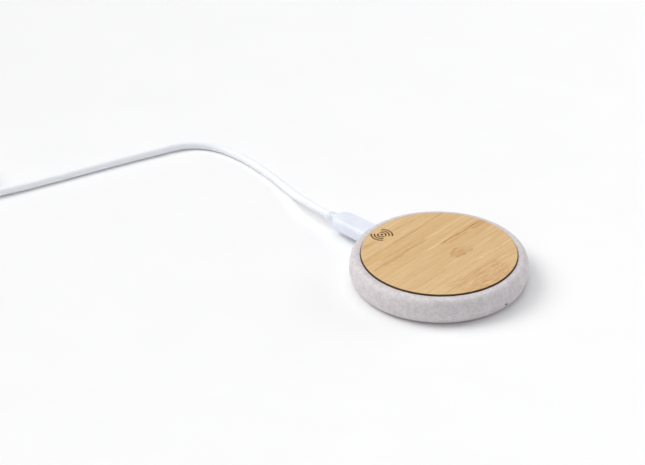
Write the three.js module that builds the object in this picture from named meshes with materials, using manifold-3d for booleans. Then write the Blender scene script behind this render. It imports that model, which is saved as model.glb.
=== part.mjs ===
// A round wireless charging pad: a two-part casing of straw-filled plastic, a bamboo charging face,
// the coil and circuit board inside, and a USB cable whose plug pulls out of the socket in the side.
// Millimetres, +Z up. The origin is on the surface the pad stands on, under the middle of the casing.
// The socket faces +Y, the status light looks out along -Y, and the bamboo's grain runs along X.

import * as THREE from "three";
import { mergeVertices } from "three/addons/utils/BufferGeometryUtils.js";
import Module from "manifold-3d";

const wasm = await Module();
wasm.setup();

// ---------------------------------------------------------------- driving dimensions

const BODY_RADIUS = 42.5;
const BODY_HEIGHT = 14.5; // from the table to the top of the bamboo
const WIDEST_HEIGHT = 7.4; // where the side stands upright
const SIDE_RUN = 4.3; // how far the side curves in, at the top and at the bottom
const SIDE_POWER = 2.6; // 2 is an ellipse, more is squarer
const FOOT_STAND = 0.5; // how far the feet hold the casing off the table

const DISC_THICKNESS = 2.5;
const DISC_PROUD = 0.8; // how far the bamboo stands above the casing's lip
const GROOVE_GAP = 0.3; // between the bamboo's edge and the casing
const LIP_WIDTH = 0.75; // flat ring between the groove and the curved side
const LIP_BEVEL = 0.2;
const ADHESIVE_THICKNESS = 0.2;
const ADHESIVE_INSET = 1.2;

const FLOOR_THICKNESS = 1.2; // the casing's floor under the bamboo
const WALL_AT_SEAM = 2.15; // the casing's wall where it meets the bottom cover
const SEAM_HEIGHT = 1.9; // where the two casing halves meet
const RIM_HEIGHT = 1.0; // the bottom cover's locating rim, above the seam
const RIM_WIDTH = 1.2;
const RIM_CLEARANCE = 0.2;

const COIL_OUTER_RADIUS = 21.5;
const COIL_INNER_RADIUS = 10.5;
const COIL_THICKNESS = 0.95;
const COIL_HEADROOM = 0.15; // between the coil and the casing's floor
const FERRITE_RADIUS = 24;
const FERRITE_THICKNESS = 0.75;
const TAPE_THICKNESS = 0.15;
const TAPE_RADIUS = 20;
const LEAD_DIAMETER = 0.8;

const BOARD_RADIUS = 31;
const BOARD_THICKNESS = 1.0;
const BOARD_TAB_WIDTH = 13;
const BOARD_SCREW_CIRCLE = 27.6;
const BOARD_SCREW_ANGLES = [55, 180, 305];
const COVER_SCREW_CIRCLE = 34.5;
const COVER_SCREW_ANGLES = [45, 135, 225, 315];
const FOOT_CIRCLE = 30;
const FOOT_ANGLES = [0, 90, 180, 270];
const FOOT_RADIUS = 4.5;
const FOOT_RECESS = 0.8;
const FOOT_CLEARANCE = 0.1;

const SOCKET_WIDTH = 8.94;
const SOCKET_HEIGHT = 3.16;
const SOCKET_DEPTH = 7.25;
const SOCKET_WALL = 0.3;
const SOCKET_INSET = 0.75; // from the casing's widest point in to the socket's mouth
const SOCKET_CLEARANCE = 0.2; // all round the socket, where it passes through the casing
const SOCKET_SEAT = 0.02; // between the socket and the board above it
const PLUG_WIDTH = 8.25;
const PLUG_HEIGHT = 2.4;
const PLUG_REACH = 6.65; // how far the metal shell stands out of the overmould
const PLUG_WALL = 0.3;
const TONGUE_WIDTH = 6.69;
const TONGUE_THICKNESS = 0.7;
const TONGUE_LENGTH = 4.45;
const TONGUE_SIDE_GAP = 0.1;
const TONGUE_FACE_GAP = 0.125;
const GRIP_WIDTH = 12.3;
const GRIP_HEIGHT = 7.4;
const GRIP_LENGTH = 22.8;
const GRIP_GAP = 0.3; // between the plug's grip and the casing
const NECK_LENGTH = 5.7;

const CORD_DIAMETER = 3.8;
const TOUCH_GAP = 0.3; // kept between the cord's own solids
const COIL_CENTRE = new THREE.Vector2(-107.2, 243.8);
const WOUND_RADIUS = 22; // middle of the wound cord
const WOUND_LANES = 3;
const WOUND_LAYERS = 2;
const WOUND_LIFT = 0.8; // the tie passes under the wound cord
const TIE_WIDTH = 8;
const TIE_THICKNESS = 0.6;
const TIE_ANGLE = 20;
const TIE_SLACK = 0.1;

const USB_A_WIDTH = 12;
const USB_A_HEIGHT = 4.5;
const USB_A_REACH = 12;
const USB_A_WALL = 0.35;
const USB_A_GRIP_WIDTH = 15.4;
const USB_A_GRIP_HEIGHT = 7.6;
const USB_A_GRIP_LENGTH = 20;
const USB_A_NECK_LENGTH = 5.8;
const USB_A_PLACE = new THREE.Vector2(-120.6, 276.5);
const USB_A_HEADING = 25;

const LIGHT_X = 0.1;
const LIGHT_ABOVE_SEAM = 2.1;
const LIGHT_RADIUS = 0.6;
const LIGHT_FOOT_RADIUS = 0.8;
const LIGHT_STEPS = 16;
const LIGHT_CLEARANCE = 0.05;
const LIGHT_RECESS = 0.08; // the rod's end, in from the casing's side
const LIGHT_NOTCH_CLEARANCE = 1;
const LIGHT_AIR_GAP = 0.2; // between the rod and the light on the board
const LIGHT_HEIGHT = 0.6;
const LIGHT_INSET = 1.4; // from the board's edge to the light on it

const CUT_PAST = 1; // how far a cutting shape runs past the face it cuts
const SLIP = 0.05; // between a part pushed into another and its hole
const ROUND_STEPS = 60;
const SMALL_STEPS = 12;
const SIDE_STEPS = 5;

// ---------------------------------------------------------------- heights and places that follow

const lipHeight = BODY_HEIGHT - DISC_PROUD;
const discBottom = BODY_HEIGHT - DISC_THICKNESS;
const floorTop = discBottom - ADHESIVE_THICKNESS;
const floorBottom = floorTop - FLOOR_THICKNESS;
const recessRadius = BODY_RADIUS - SIDE_RUN - LIP_WIDTH;
const discRadius = recessRadius - GROOVE_GAP;
const coilTop = floorBottom - COIL_HEADROOM;
const ferriteTop = coilTop - COIL_THICKNESS;
const ferriteBottom = ferriteTop - FERRITE_THICKNESS;
const boardTop = ferriteBottom - TAPE_THICKNESS;
const boardBottom = boardTop - BOARD_THICKNESS;
const portHeight = boardBottom - SOCKET_HEIGHT / 2 - SOCKET_SEAT;
const cavityRadius = bodyRadiusAt(SEAM_HEIGHT) - WALL_AT_SEAM;
const socketMouth = BODY_RADIUS - SOCKET_INSET;
const socketBack = socketMouth - SOCKET_DEPTH;
const gripFront = BODY_RADIUS + GRIP_GAP;
const plugTip = gripFront - PLUG_REACH;
const lightHeight = SEAM_HEIGHT + LIGHT_ABOVE_SEAM;

// The curved side of the casing: its radius at a height.
function bodyRadiusAt(height) {
  const below = height < WIDEST_HEIGHT;
  const reach = below ? WIDEST_HEIGHT - FOOT_STAND : lipHeight - WIDEST_HEIGHT;
  const share = Math.min(1, Math.abs(height - WIDEST_HEIGHT) / reach);
  const bulge = (1 - share ** SIDE_POWER) ** (1 / SIDE_POWER);
  return BODY_RADIUS - SIDE_RUN + SIDE_RUN * bulge;
}

// Points of the curved side between two heights, closer together where it curves most.
function sidePoints(low, high, steps) {
  const lowAngle = sideAngle(low);
  const highAngle = sideAngle(high);
  const points = [];
  for (let i = 0; i <= steps; i += 1) {
    const angle = lowAngle + ((highAngle - lowAngle) * i) / steps;
    const reach = angle < 0 ? WIDEST_HEIGHT - FOOT_STAND : lipHeight - WIDEST_HEIGHT;
    const rise = Math.sign(angle) * Math.abs(Math.sin(angle)) ** (2 / SIDE_POWER);
    const height = WIDEST_HEIGHT + reach * rise;
    points.push(new THREE.Vector2(bodyRadiusAt(height), height));
  }
  return points;
}

function sideAngle(height) {
  const reach = height < WIDEST_HEIGHT ? WIDEST_HEIGHT - FOOT_STAND : lipHeight - WIDEST_HEIGHT;
  const share = (height - WIDEST_HEIGHT) / reach;
  return Math.sign(share) * Math.asin(Math.abs(share) ** (SIDE_POWER / 2));
}

function polar(radius, degrees) {
  const angle = THREE.MathUtils.degToRad(degrees);
  return new THREE.Vector2(radius * Math.cos(angle), radius * Math.sin(angle));
}

// ---------------------------------------------------------------- solids

function toSolid(geometry) {
  const bare = geometry.clone();
  bare.deleteAttribute("normal");
  bare.deleteAttribute("uv");
  const merged = mergeVertices(bare, 1e-4);
  const mesh = new wasm.Mesh({
    numProp: 3,
    vertProperties: new Float32Array(merged.attributes.position.array),
    triVerts: new Uint32Array(merged.index.array),
  });
  return new wasm.Manifold(mesh);
}

function toGeometry(solid) {
  const mesh = solid.getMesh();
  const geometry = new THREE.BufferGeometry();
  geometry.setAttribute("position", new THREE.BufferAttribute(mesh.vertProperties, 3));
  geometry.setIndex(new THREE.BufferAttribute(mesh.triVerts, 1));
  geometry.computeVertexNormals();
  return geometry;
}

// Joins the added geometries to the first one, then takes the cut ones away.
function carve(base, added, cut) {
  let solid = toSolid(base);
  for (const piece of added) {
    solid = solid.add(toSolid(piece));
  }
  for (const piece of cut) {
    solid = solid.subtract(toSolid(piece));
  }
  return toGeometry(solid);
}

// A profile of (radius, height) points turned about the Z axis.
function turned(points, steps = ROUND_STEPS) {
  return new THREE.LatheGeometry(points, steps).rotateX(Math.PI / 2);
}

function profile(...pairs) {
  return pairs.map(([radius, height]) => new THREE.Vector2(radius, height));
}

function post(radius, low, high, place = new THREE.Vector2(), steps = SMALL_STEPS) {
  const geometry = new THREE.CylinderGeometry(radius, radius, high - low, steps);
  geometry.rotateX(Math.PI / 2);
  return geometry.translate(place.x, place.y, (low + high) / 2);
}

function ring(inner, outer, low, high, steps = ROUND_STEPS) {
  return turned(profile([inner, low], [outer, low], [outer, high], [inner, high], [inner, low]), steps);
}

function disc(radius, low, high, steps = ROUND_STEPS) {
  return turned(profile([0, low], [radius, low], [radius, high], [0, high]), steps);
}

// A box from its middle in X and Y, its lowest height and its size.
function block(x, y, low, width, depth, height) {
  return new THREE.BoxGeometry(width, depth, height).translate(x, y, low + height / 2);
}

// A flat shape with half-round ends, as a closed path in X and Z.
function slotShape(width, height, PathClass = THREE.Shape) {
  const radius = height / 2;
  const reach = width / 2 - radius;
  const path = new PathClass();
  path.absarc(reach, 0, radius, -Math.PI / 2, Math.PI / 2, false);
  path.absarc(-reach, 0, radius, Math.PI / 2, (3 * Math.PI) / 2, false);
  return path;
}

function rectangleShape(width, height, PathClass = THREE.Shape) {
  const path = new PathClass();
  path.moveTo(-width / 2, -height / 2);
  path.lineTo(width / 2, -height / 2);
  path.lineTo(width / 2, height / 2);
  path.lineTo(-width / 2, height / 2);
  path.closePath();
  return path;
}

// A shape drawn in X and Z, drawn out along +Y from one place to another.
function alongY(shape, from, to, height) {
  const geometry = new THREE.ExtrudeGeometry(shape, {
    depth: to - from,
    bevelEnabled: false,
    curveSegments: 8,
  });
  return geometry.rotateX(Math.PI / 2).translate(0, to, height);
}

function sleeve(width, height, wall) {
  const shape = slotShape(width, height);
  shape.holes.push(slotShape(width - 2 * wall, height - 2 * wall, THREE.Path));
  return shape;
}

// A rounded rectangle's outline in X and Z, as points going round it.
function roundedOutline(width, height, radius) {
  const cornerSteps = 4;
  const corners = [
    [1, 1, 0],
    [-1, 1, 90],
    [-1, -1, 180],
    [1, -1, 270],
  ];
  const points = [];
  for (const [signX, signZ, start] of corners) {
    for (let i = 0; i <= cornerSteps; i += 1) {
      const round = polar(radius, start + (90 * i) / cornerSteps);
      const x = signX * (width / 2 - radius) + round.x;
      const z = signZ * (height / 2 - radius) + round.y;
      points.push(new THREE.Vector2(x, z));
    }
  }
  return points;
}

// A moulded grip lofted along Y through sections of { y, width, height, radius } about one height.
function lofted(sections, height) {
  const rings = sections.map((s) => roundedOutline(s.width, s.height, s.radius));
  const count = rings[0].length;
  const positions = [];
  rings.forEach((points, i) => {
    for (const point of points) {
      positions.push(point.x, sections[i].y, height + point.y);
    }
  });
  const first = positions.length / 3;
  positions.push(0, sections[0].y, height);
  positions.push(0, sections[sections.length - 1].y, height);
  const index = [];
  for (let i = 0; i + 1 < sections.length; i += 1) {
    for (let j = 0; j < count; j += 1) {
      const next = (j + 1) % count;
      const a = i * count + j;
      const b = i * count + next;
      index.push(a, a + count, b);
      index.push(b, a + count, b + count);
    }
  }
  const last = (sections.length - 1) * count;
  for (let j = 0; j < count; j += 1) {
    const next = (j + 1) % count;
    index.push(first, j, next);
    index.push(first + 1, last + next, last + j);
  }
  const geometry = new THREE.BufferGeometry();
  geometry.setAttribute("position", new THREE.Float32BufferAttribute(positions, 3));
  geometry.setIndex(index);
  return geometry;
}

// A round tube along a smooth curve through points.
function tube(points, diameter, sides, steps) {
  const section = new THREE.Shape();
  for (let i = 0; i < sides; i += 1) {
    const corner = polar(diameter / 2, (360 * i) / sides);
    if (i === 0) {
      section.moveTo(corner.x, corner.y);
    } else {
      section.lineTo(corner.x, corner.y);
    }
  }
  section.closePath();
  const path = new THREE.CatmullRomCurve3(points, false, "centripetal");
  return new THREE.ExtrudeGeometry(section, { steps, extrudePath: path });
}

const colours = {
  straw: { color: 0xcfc7c3, roughness: 0.75, metalness: 0 },
  bamboo: { color: 0xd9b483, roughness: 0.6, metalness: 0 },
  adhesive: { color: 0xe8e2cf, roughness: 0.8, metalness: 0 },
  copper: { color: 0xb8693a, roughness: 0.4, metalness: 1 },
  ferrite: { color: 0x35353a, roughness: 0.6, metalness: 0.2 },
  board: { color: 0x1d5a34, roughness: 0.5, metalness: 0 },
  chip: { color: 0x1c1c1e, roughness: 0.5, metalness: 0 },
  capacitor: { color: 0xb79a6b, roughness: 0.5, metalness: 0 },
  steel: { color: 0xb9bbbf, roughness: 0.3, metalness: 1 },
  lamp: { color: 0x2b2d33, roughness: 0.2, metalness: 0 },
  silicone: { color: 0x8f8f90, roughness: 0.7, metalness: 0 },
  whitePlastic: { color: 0xf1f4fb, roughness: 0.35, metalness: 0 },
  cordWhite: { color: 0xeef0f6, roughness: 0.45, metalness: 0 },
  insert: { color: 0x1b1b1d, roughness: 0.5, metalness: 0 },
};

function piece(name, geometry, colour) {
  const mesh = new THREE.Mesh(geometry, new THREE.MeshStandardMaterial(colours[colour]));
  mesh.name = name;
  return mesh;
}

function group(...members) {
  const made = new THREE.Group();
  made.add(...members);
  return made;
}

// ---------------------------------------------------------------- casing

const BOSS_RADIUS = 2.75;
const BOSS_HOLE = 1.0;
const BOSS_RIB = 1.2;
const BOSS_LIFT = 0.05; // between a boss and the cover it is screwed to
const BOARD_BOSS_RADIUS = 2.2;
const BOARD_BOSS_HOLE = 0.8;
const BOSS_HOLE_STOP = 1.4; // solid plastic left above a boss's hole
const RIB_SINK = 0.4; // how deep a boss's rib sinks into the boss and the wall
const RIB_ABOVE_RIM = 1;
const JOIN = 0.1; // how deep a joined piece sinks into its neighbour
const screwHoleTop = floorBottom - BOSS_HOLE_STOP;

function bossRib(degrees) {
  const inner = COVER_SCREW_CIRCLE + BOSS_RADIUS - RIB_SINK;
  const outer = cavityRadius + RIB_SINK;
  const low = SEAM_HEIGHT + RIM_HEIGHT + RIB_ABOVE_RIM;
  const rib = block((inner + outer) / 2, 0, low, outer - inner, BOSS_RIB, floorBottom + JOIN - low);
  return rib.rotateZ(THREE.MathUtils.degToRad(degrees));
}

// The room that the socket takes, from a place inside the casing out through its side.
function socketRoom(from) {
  const width = SOCKET_WIDTH + 2 * SOCKET_CLEARANCE;
  const height = SOCKET_HEIGHT + 2 * SOCKET_CLEARANCE;
  return alongY(slotShape(width, height), from, BODY_RADIUS + CUT_PAST, portHeight);
}

function lightRod(radius, from, to) {
  const geometry = new THREE.CylinderGeometry(radius, radius, to - from, LIGHT_STEPS);
  return geometry.translate(LIGHT_X, (from + to) / 2, lightHeight);
}

function topShell() {
  const outline = [
    ...profile([0, floorBottom], [cavityRadius, floorBottom], [cavityRadius, SEAM_HEIGHT]),
    ...sidePoints(SEAM_HEIGHT, lipHeight, 2 * SIDE_STEPS),
    ...profile(
      [recessRadius + LIP_BEVEL, lipHeight],
      [recessRadius, lipHeight - LIP_BEVEL],
      [recessRadius, floorTop],
      [0, floorTop],
    ),
  ];
  const added = [];
  const lightHole = LIGHT_RADIUS + LIGHT_CLEARANCE;
  const cut = [
    socketRoom(cavityRadius - CUT_PAST),
    lightRod(lightHole, -BODY_RADIUS - CUT_PAST, CUT_PAST - cavityRadius),
  ];
  for (const degrees of COVER_SCREW_ANGLES) {
    const place = polar(COVER_SCREW_CIRCLE, degrees);
    added.push(post(BOSS_RADIUS, SEAM_HEIGHT + BOSS_LIFT, floorBottom + JOIN, place));
    added.push(bossRib(degrees));
    cut.push(post(BOSS_HOLE, SEAM_HEIGHT - CUT_PAST, screwHoleTop, place));
  }
  for (const degrees of BOARD_SCREW_ANGLES) {
    const place = polar(BOARD_SCREW_CIRCLE, degrees);
    added.push(post(BOARD_BOSS_RADIUS, boardTop, floorBottom + JOIN, place));
    cut.push(post(BOARD_BOSS_HOLE, boardTop - CUT_PAST, floorBottom + FLOOR_THICKNESS / 3, place));
  }
  return carve(turned(outline), added, cut);
}

const HEAD_RADIUS = 1.9;
const HEAD_HEIGHT = 0.8;
const HEAD_CLEARANCE = 0.2;
const SCREW_TIP_GAP = 0.3;
const FOOT_STEPS = 32;
const coverBottom = FOOT_STAND;
const footPocketTop = coverBottom + FOOT_RECESS;
const rimOuter = cavityRadius - RIM_CLEARANCE;

function bottomCover() {
  const outline = [
    ...profile([0, coverBottom]),
    ...sidePoints(FOOT_STAND, SEAM_HEIGHT, SIDE_STEPS),
    ...profile(
      [rimOuter, SEAM_HEIGHT],
      [rimOuter, SEAM_HEIGHT + RIM_HEIGHT],
      [rimOuter - RIM_WIDTH, SEAM_HEIGHT + RIM_HEIGHT],
      [rimOuter - RIM_WIDTH, SEAM_HEIGHT],
      [0, SEAM_HEIGHT],
    ),
  ];
  const lightNotch = 2 * (LIGHT_RADIUS + LIGHT_NOTCH_CLEARANCE);
  const notchDepth = 3 * RIM_WIDTH;
  const cut = [
    socketRoom(socketBack - SOCKET_CLEARANCE),
    block(LIGHT_X, -rimOuter, SEAM_HEIGHT, lightNotch, notchDepth, RIM_HEIGHT + CUT_PAST),
  ];
  for (const degrees of COVER_SCREW_ANGLES) {
    const place = polar(COVER_SCREW_CIRCLE, degrees);
    cut.push(post(BOSS_HOLE + SLIP, coverBottom - CUT_PAST, SEAM_HEIGHT + CUT_PAST, place));
    cut.push(post(HEAD_RADIUS + HEAD_CLEARANCE, coverBottom - CUT_PAST, coverBottom + HEAD_HEIGHT, place));
  }
  for (const degrees of FOOT_ANGLES) {
    const place = polar(FOOT_CIRCLE, degrees);
    const pocket = FOOT_RADIUS + FOOT_CLEARANCE;
    cut.push(post(pocket, coverBottom - CUT_PAST, footPocketTop, place, FOOT_STEPS));
  }
  return carve(turned(outline), [], cut);
}

function foot(degrees) {
  const edge = 0.3;
  const shape = profile(
    [0, 0],
    [FOOT_RADIUS - edge, 0],
    [FOOT_RADIUS, edge],
    [FOOT_RADIUS, footPocketTop],
    [0, footPocketTop],
  );
  const place = polar(FOOT_CIRCLE, degrees);
  return turned(shape, FOOT_STEPS).translate(place.x, place.y, 0);
}

const CROSS_SPAN = 1.1; // as a share of the head's radius
const CROSS_SLOT = 0.35;

// A pan-head screw pointing up, with a cross in its head.
function screw(place, headLow, headRadius, headHeight, shankRadius, tip) {
  const headTop = headLow + headHeight;
  const bevel = 0.15;
  const shape = profile(
    [0, headLow],
    [headRadius - bevel, headLow],
    [headRadius, headLow + bevel],
    [headRadius, headTop],
    [shankRadius, headTop],
    [shankRadius, tip - shankRadius],
    [0, tip],
  );
  const arm = headRadius * CROSS_SPAN;
  const slot = CROSS_SLOT;
  const cross = [
    block(0, 0, headLow - CUT_PAST, arm, slot, CUT_PAST + headHeight / 2),
    block(0, 0, headLow - CUT_PAST, slot, arm, CUT_PAST + headHeight / 2),
  ];
  return carve(turned(shape, SMALL_STEPS), [], cross).translate(place.x, place.y, 0);
}

function coverScrew(degrees) {
  const place = polar(COVER_SCREW_CIRCLE, degrees);
  const tip = screwHoleTop - SCREW_TIP_GAP;
  return screw(place, coverBottom + SLIP, HEAD_RADIUS, HEAD_HEIGHT - SLIP, BOSS_HOLE - SLIP, tip);
}

const casing = group(
  piece("top_shell", topShell(), "straw"),
  piece("bottom_cover", bottomCover(), "straw"),
);
COVER_SCREW_ANGLES.forEach((degrees, i) => {
  casing.add(piece(`cover_screw_${i + 1}`, coverScrew(degrees), "steel"));
});
FOOT_ANGLES.forEach((degrees, i) => {
  casing.add(piece(`foot_${i + 1}`, foot(degrees), "silicone"));
});

// ---------------------------------------------------------------- charging face

const DISC_EDGE = 0.15;
const discProfile = profile(
  [0, discBottom],
  [discRadius, discBottom],
  [discRadius, BODY_HEIGHT - DISC_EDGE],
  [discRadius - DISC_EDGE, BODY_HEIGHT],
  [0, BODY_HEIGHT],
);
const chargingFace = group(
  piece("bamboo_disc", turned(discProfile), "bamboo"),
  piece("disc_adhesive", disc(discRadius - ADHESIVE_INSET, floorTop, discBottom), "adhesive"),
);

// ---------------------------------------------------------------- coil stack

const LEAD_OFFSET = 1.6; // each lead's start, to its side of the middle
const LEAD_LIFT = 0.05; // between a lead and what it lies on
const LEAD_SIDES = 6;
const LEAD_STEPS = 10;
const SENSOR_SIZE = new THREE.Vector3(2, 1.2, 0.7);

// Where a lead goes: how far past the ferrite's edge, how far to its side as a share of its start,
// and how high from the board (0) to the ferrite (1).
const leadPath = [
  [TOUCH_GAP + COIL_OUTER_RADIUS - FERRITE_RADIUS, 1, 1],
  [0.2, 1.05, 1],
  [1.6, 1.2, 0.73],
  [2.8, 1.7, 0],
  [4.4, 2.5, 0],
];

// A lead comes off the coil's edge, dips over the ferrite and lands on the board.
function coilLead(side) {
  const rest = LEAD_DIAMETER / 2 + LEAD_LIFT;
  const points = leadPath.map(([out, spread, rise]) => {
    const height = THREE.MathUtils.lerp(boardTop, ferriteTop, rise) + rest;
    return new THREE.Vector3(-FERRITE_RADIUS - out, side * LEAD_OFFSET * spread, height);
  });
  return tube(points, LEAD_DIAMETER, LEAD_SIDES, LEAD_STEPS);
}

function temperatureSensor() {
  return block(0, 0, ferriteTop, SENSOR_SIZE.x, SENSOR_SIZE.y, SENSOR_SIZE.z);
}

const coilStack = group(
  piece("charging_coil", ring(COIL_INNER_RADIUS, COIL_OUTER_RADIUS, ferriteTop, coilTop), "copper"),
  piece("ferrite_sheet", disc(FERRITE_RADIUS, ferriteBottom, ferriteTop), "ferrite"),
  piece("ferrite_tape", disc(TAPE_RADIUS, boardTop, ferriteBottom), "adhesive"),
  piece("temperature_sensor", temperatureSensor(), "chip"),
  piece("coil_lead_1", coilLead(1), "copper"),
  piece("coil_lead_2", coilLead(-1), "copper"),
);

// ---------------------------------------------------------------- circuit board

const BOARD_CLEARANCE = 0.3;
const BOARD_SCREW_HEAD = 1.6;
const BOARD_SCREW_HEAD_HEIGHT = 1.1;
const BOARD_SCREW_TIP = 0.2; // into the floor above the boss
const SCREW_HOLE_CLEARANCE = 0.2;
const tabEnd = Math.sqrt((cavityRadius - BOARD_CLEARANCE) ** 2 - (BOARD_TAB_WIDTH / 2) ** 2);

function circuitBoard() {
  const halfTab = BOARD_TAB_WIDTH / 2;
  const turn = Math.acos(halfTab / BOARD_RADIUS);
  const outline = new THREE.Shape();
  outline.moveTo(halfTab, tabEnd);
  outline.lineTo(-halfTab, tabEnd);
  outline.absarc(0, 0, BOARD_RADIUS, Math.PI - turn, 2 * Math.PI + turn, false);
  const geometry = new THREE.ExtrudeGeometry(outline, {
    depth: BOARD_THICKNESS,
    bevelEnabled: false,
    curveSegments: 48,
  });
  geometry.translate(0, 0, boardBottom);
  const holes = BOARD_SCREW_ANGLES.map((degrees) => {
    const place = polar(BOARD_SCREW_CIRCLE, degrees);
    const hole = BOARD_BOSS_HOLE + SCREW_HOLE_CLEARANCE;
    return post(hole, boardBottom - CUT_PAST, boardTop + CUT_PAST, place);
  });
  return carve(geometry, [], holes);
}

function boardScrew(degrees) {
  const place = polar(BOARD_SCREW_CIRCLE, degrees);
  const low = boardBottom - BOARD_SCREW_HEAD_HEIGHT;
  const tip = floorBottom + BOARD_SCREW_TIP;
  const shank = BOARD_BOSS_HOLE - SLIP;
  return screw(place, low, BOARD_SCREW_HEAD, BOARD_SCREW_HEAD_HEIGHT, shank, tip);
}

// Parts soldered under the board: name, x, y, width, depth, height, colour.
const boardParts = [
  ["control_chip", 0, 2, 6, 6, 0.9, "chip"],
  ["bridge_chip", -12, 9, 5, 5, 0.9, "chip"],
  ["input_inductor", 12, 10, 5, 5, 2.4, "ferrite"],
  ["input_capacitor", 7, 19, 3.2, 2.5, 2, "capacitor"],
  ["sense_resistor", -6, 18, 3.2, 1.6, 0.6, "chip"],
  ["status_led", LIGHT_X, LIGHT_INSET - BOARD_RADIUS, 1.6, 0.8, LIGHT_HEIGHT, "adhesive"],
  ["resonant_capacitor_1", -18, 3, 3.2, 2.5, 2, "capacitor"],
  ["resonant_capacitor_2", -18, -1, 3.2, 2.5, 2, "capacitor"],
  ["resonant_capacitor_3", -18, -5, 3.2, 2.5, 2, "capacitor"],
  ["resonant_capacitor_4", -18, -9, 3.2, 2.5, 2, "capacitor"],
];

// A clear rod that carries the status light from the board out through the wall.
function lightGuide() {
  const outerEnd = LIGHT_RECESS - Math.sqrt(bodyRadiusAt(lightHeight) ** 2 - LIGHT_X ** 2);
  const foot = new THREE.Vector2(LIGHT_X, LIGHT_INSET - BOARD_RADIUS);
  const top = boardBottom - LIGHT_HEIGHT - LIGHT_AIR_GAP;
  const rise = post(LIGHT_FOOT_RADIUS, lightHeight - LIGHT_RADIUS, top, foot, LIGHT_STEPS);
  return carve(lightRod(LIGHT_RADIUS, outerEnd, foot.y), [rise], []);
}

const electronics = group(
  piece("circuit_board", circuitBoard(), "board"),
  piece("light_guide", lightGuide(), "lamp"),
);
for (const [name, x, y, width, depth, height, colour] of boardParts) {
  electronics.add(piece(name, block(x, y, boardBottom - height, width, depth, height), colour));
}
BOARD_SCREW_ANGLES.forEach((degrees, i) => {
  electronics.add(piece(`board_screw_${i + 1}`, boardScrew(degrees), "steel"));
});

// ---------------------------------------------------------------- socket in the casing's side

const TONGUE_BASE = 1.0;

function socketTongue() {
  const width = SOCKET_WIDTH - 2 * SOCKET_WALL - 2 * SLIP;
  const height = SOCKET_HEIGHT - 2 * SOCKET_WALL - 2 * SLIP;
  const base = alongY(slotShape(width, height), socketBack, socketBack + TONGUE_BASE, portHeight);
  const length = TONGUE_LENGTH + JOIN;
  const start = socketBack + TONGUE_BASE - JOIN;
  const low = portHeight - TONGUE_THICKNESS / 2;
  const tongue = block(0, start + length / 2, low, TONGUE_WIDTH, length, TONGUE_THICKNESS);
  return carve(base, [tongue], []);
}

const socketSleeve = sleeve(SOCKET_WIDTH, SOCKET_HEIGHT, SOCKET_WALL);
const socket = group(
  piece("usb_socket_shell", alongY(socketSleeve, socketBack, socketMouth, portHeight), "steel"),
  piece("usb_socket_tongue", socketTongue(), "insert"),
);

// ---------------------------------------------------------------- plug in the casing's side

const INSERT_SLOT_DEPTH = 5.3;
const INSERT_INSET = 0.15; // from the metal shell's tip

function plugInsert() {
  const width = PLUG_WIDTH - 2 * PLUG_WALL - SLIP;
  const height = PLUG_HEIGHT - 2 * PLUG_WALL - SLIP;
  const front = plugTip + INSERT_INSET;
  const body = alongY(slotShape(width, height), front, gripFront, portHeight);
  const slotWidth = TONGUE_WIDTH + 2 * TONGUE_SIDE_GAP;
  const slotHeight = TONGUE_THICKNESS + 2 * TONGUE_FACE_GAP;
  const depth = INSERT_SLOT_DEPTH + CUT_PAST;
  const low = portHeight - slotHeight / 2;
  const middle = front - CUT_PAST + depth / 2;
  return carve(body, [], [block(0, middle, low, slotWidth, depth, slotHeight)]);
}

const GRIP_EDGE = 0.3; // bevel of the front face, and the step down to the neck
const GRIP_CORNER = 0.36; // corner radius as a share of the height
const NECK_CORNER = 0.49; // the neck is all but round
const NECK_WALL = 0.8; // round the cord, where the neck starts
const NECK_END_WALL = 0.2; // and where it ends

// How a grip narrows: place along it, then width, height and corner, each as a share of the full size.
const gripTaper = [
  [0.5, 0.98, 0.99, 1],
  [0.8, 0.95, 0.98, 1],
  [0.93, 0.85, 0.93, 0.97],
  [1, 0.64, 0.78, 0.9],
];

// The grip of a plug, from its front face back to the thin neck that the cord comes out of.
function grip(front, width, height, length, neckLength) {
  const radius = height * GRIP_CORNER;
  const back = front + length;
  const bevel = 2 * GRIP_EDGE;
  const edge = { y: front, width: width - bevel, height: height - bevel, radius: radius - GRIP_EDGE };
  const full = { y: front + GRIP_EDGE, width, height, radius };
  const tapered = gripTaper.map(([along, wide, high, round]) => ({
    y: front + along * length,
    width: width * wide,
    height: height * high,
    radius: radius * round,
  }));
  return [
    edge,
    full,
    ...tapered,
    neckSection(back + GRIP_EDGE, NECK_WALL),
    neckSection(back + neckLength, NECK_END_WALL),
  ];
}

function neckSection(y, wall) {
  const across = CORD_DIAMETER + 2 * wall;
  return { y, width: across, height: across, radius: across * NECK_CORNER };
}

const plugSections = grip(gripFront, GRIP_WIDTH, GRIP_HEIGHT, GRIP_LENGTH, NECK_LENGTH);
const plugSleeve = sleeve(PLUG_WIDTH, PLUG_HEIGHT, PLUG_WALL);
const nearPlug = group(
  piece("plug_shell", alongY(plugSleeve, plugTip, gripFront, portHeight), "steel"),
  piece("plug_insert", plugInsert(), "insert"),
  piece("plug_grip", lofted(plugSections, portHeight), "whitePlastic"),
);

// ---------------------------------------------------------------- cord

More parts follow.
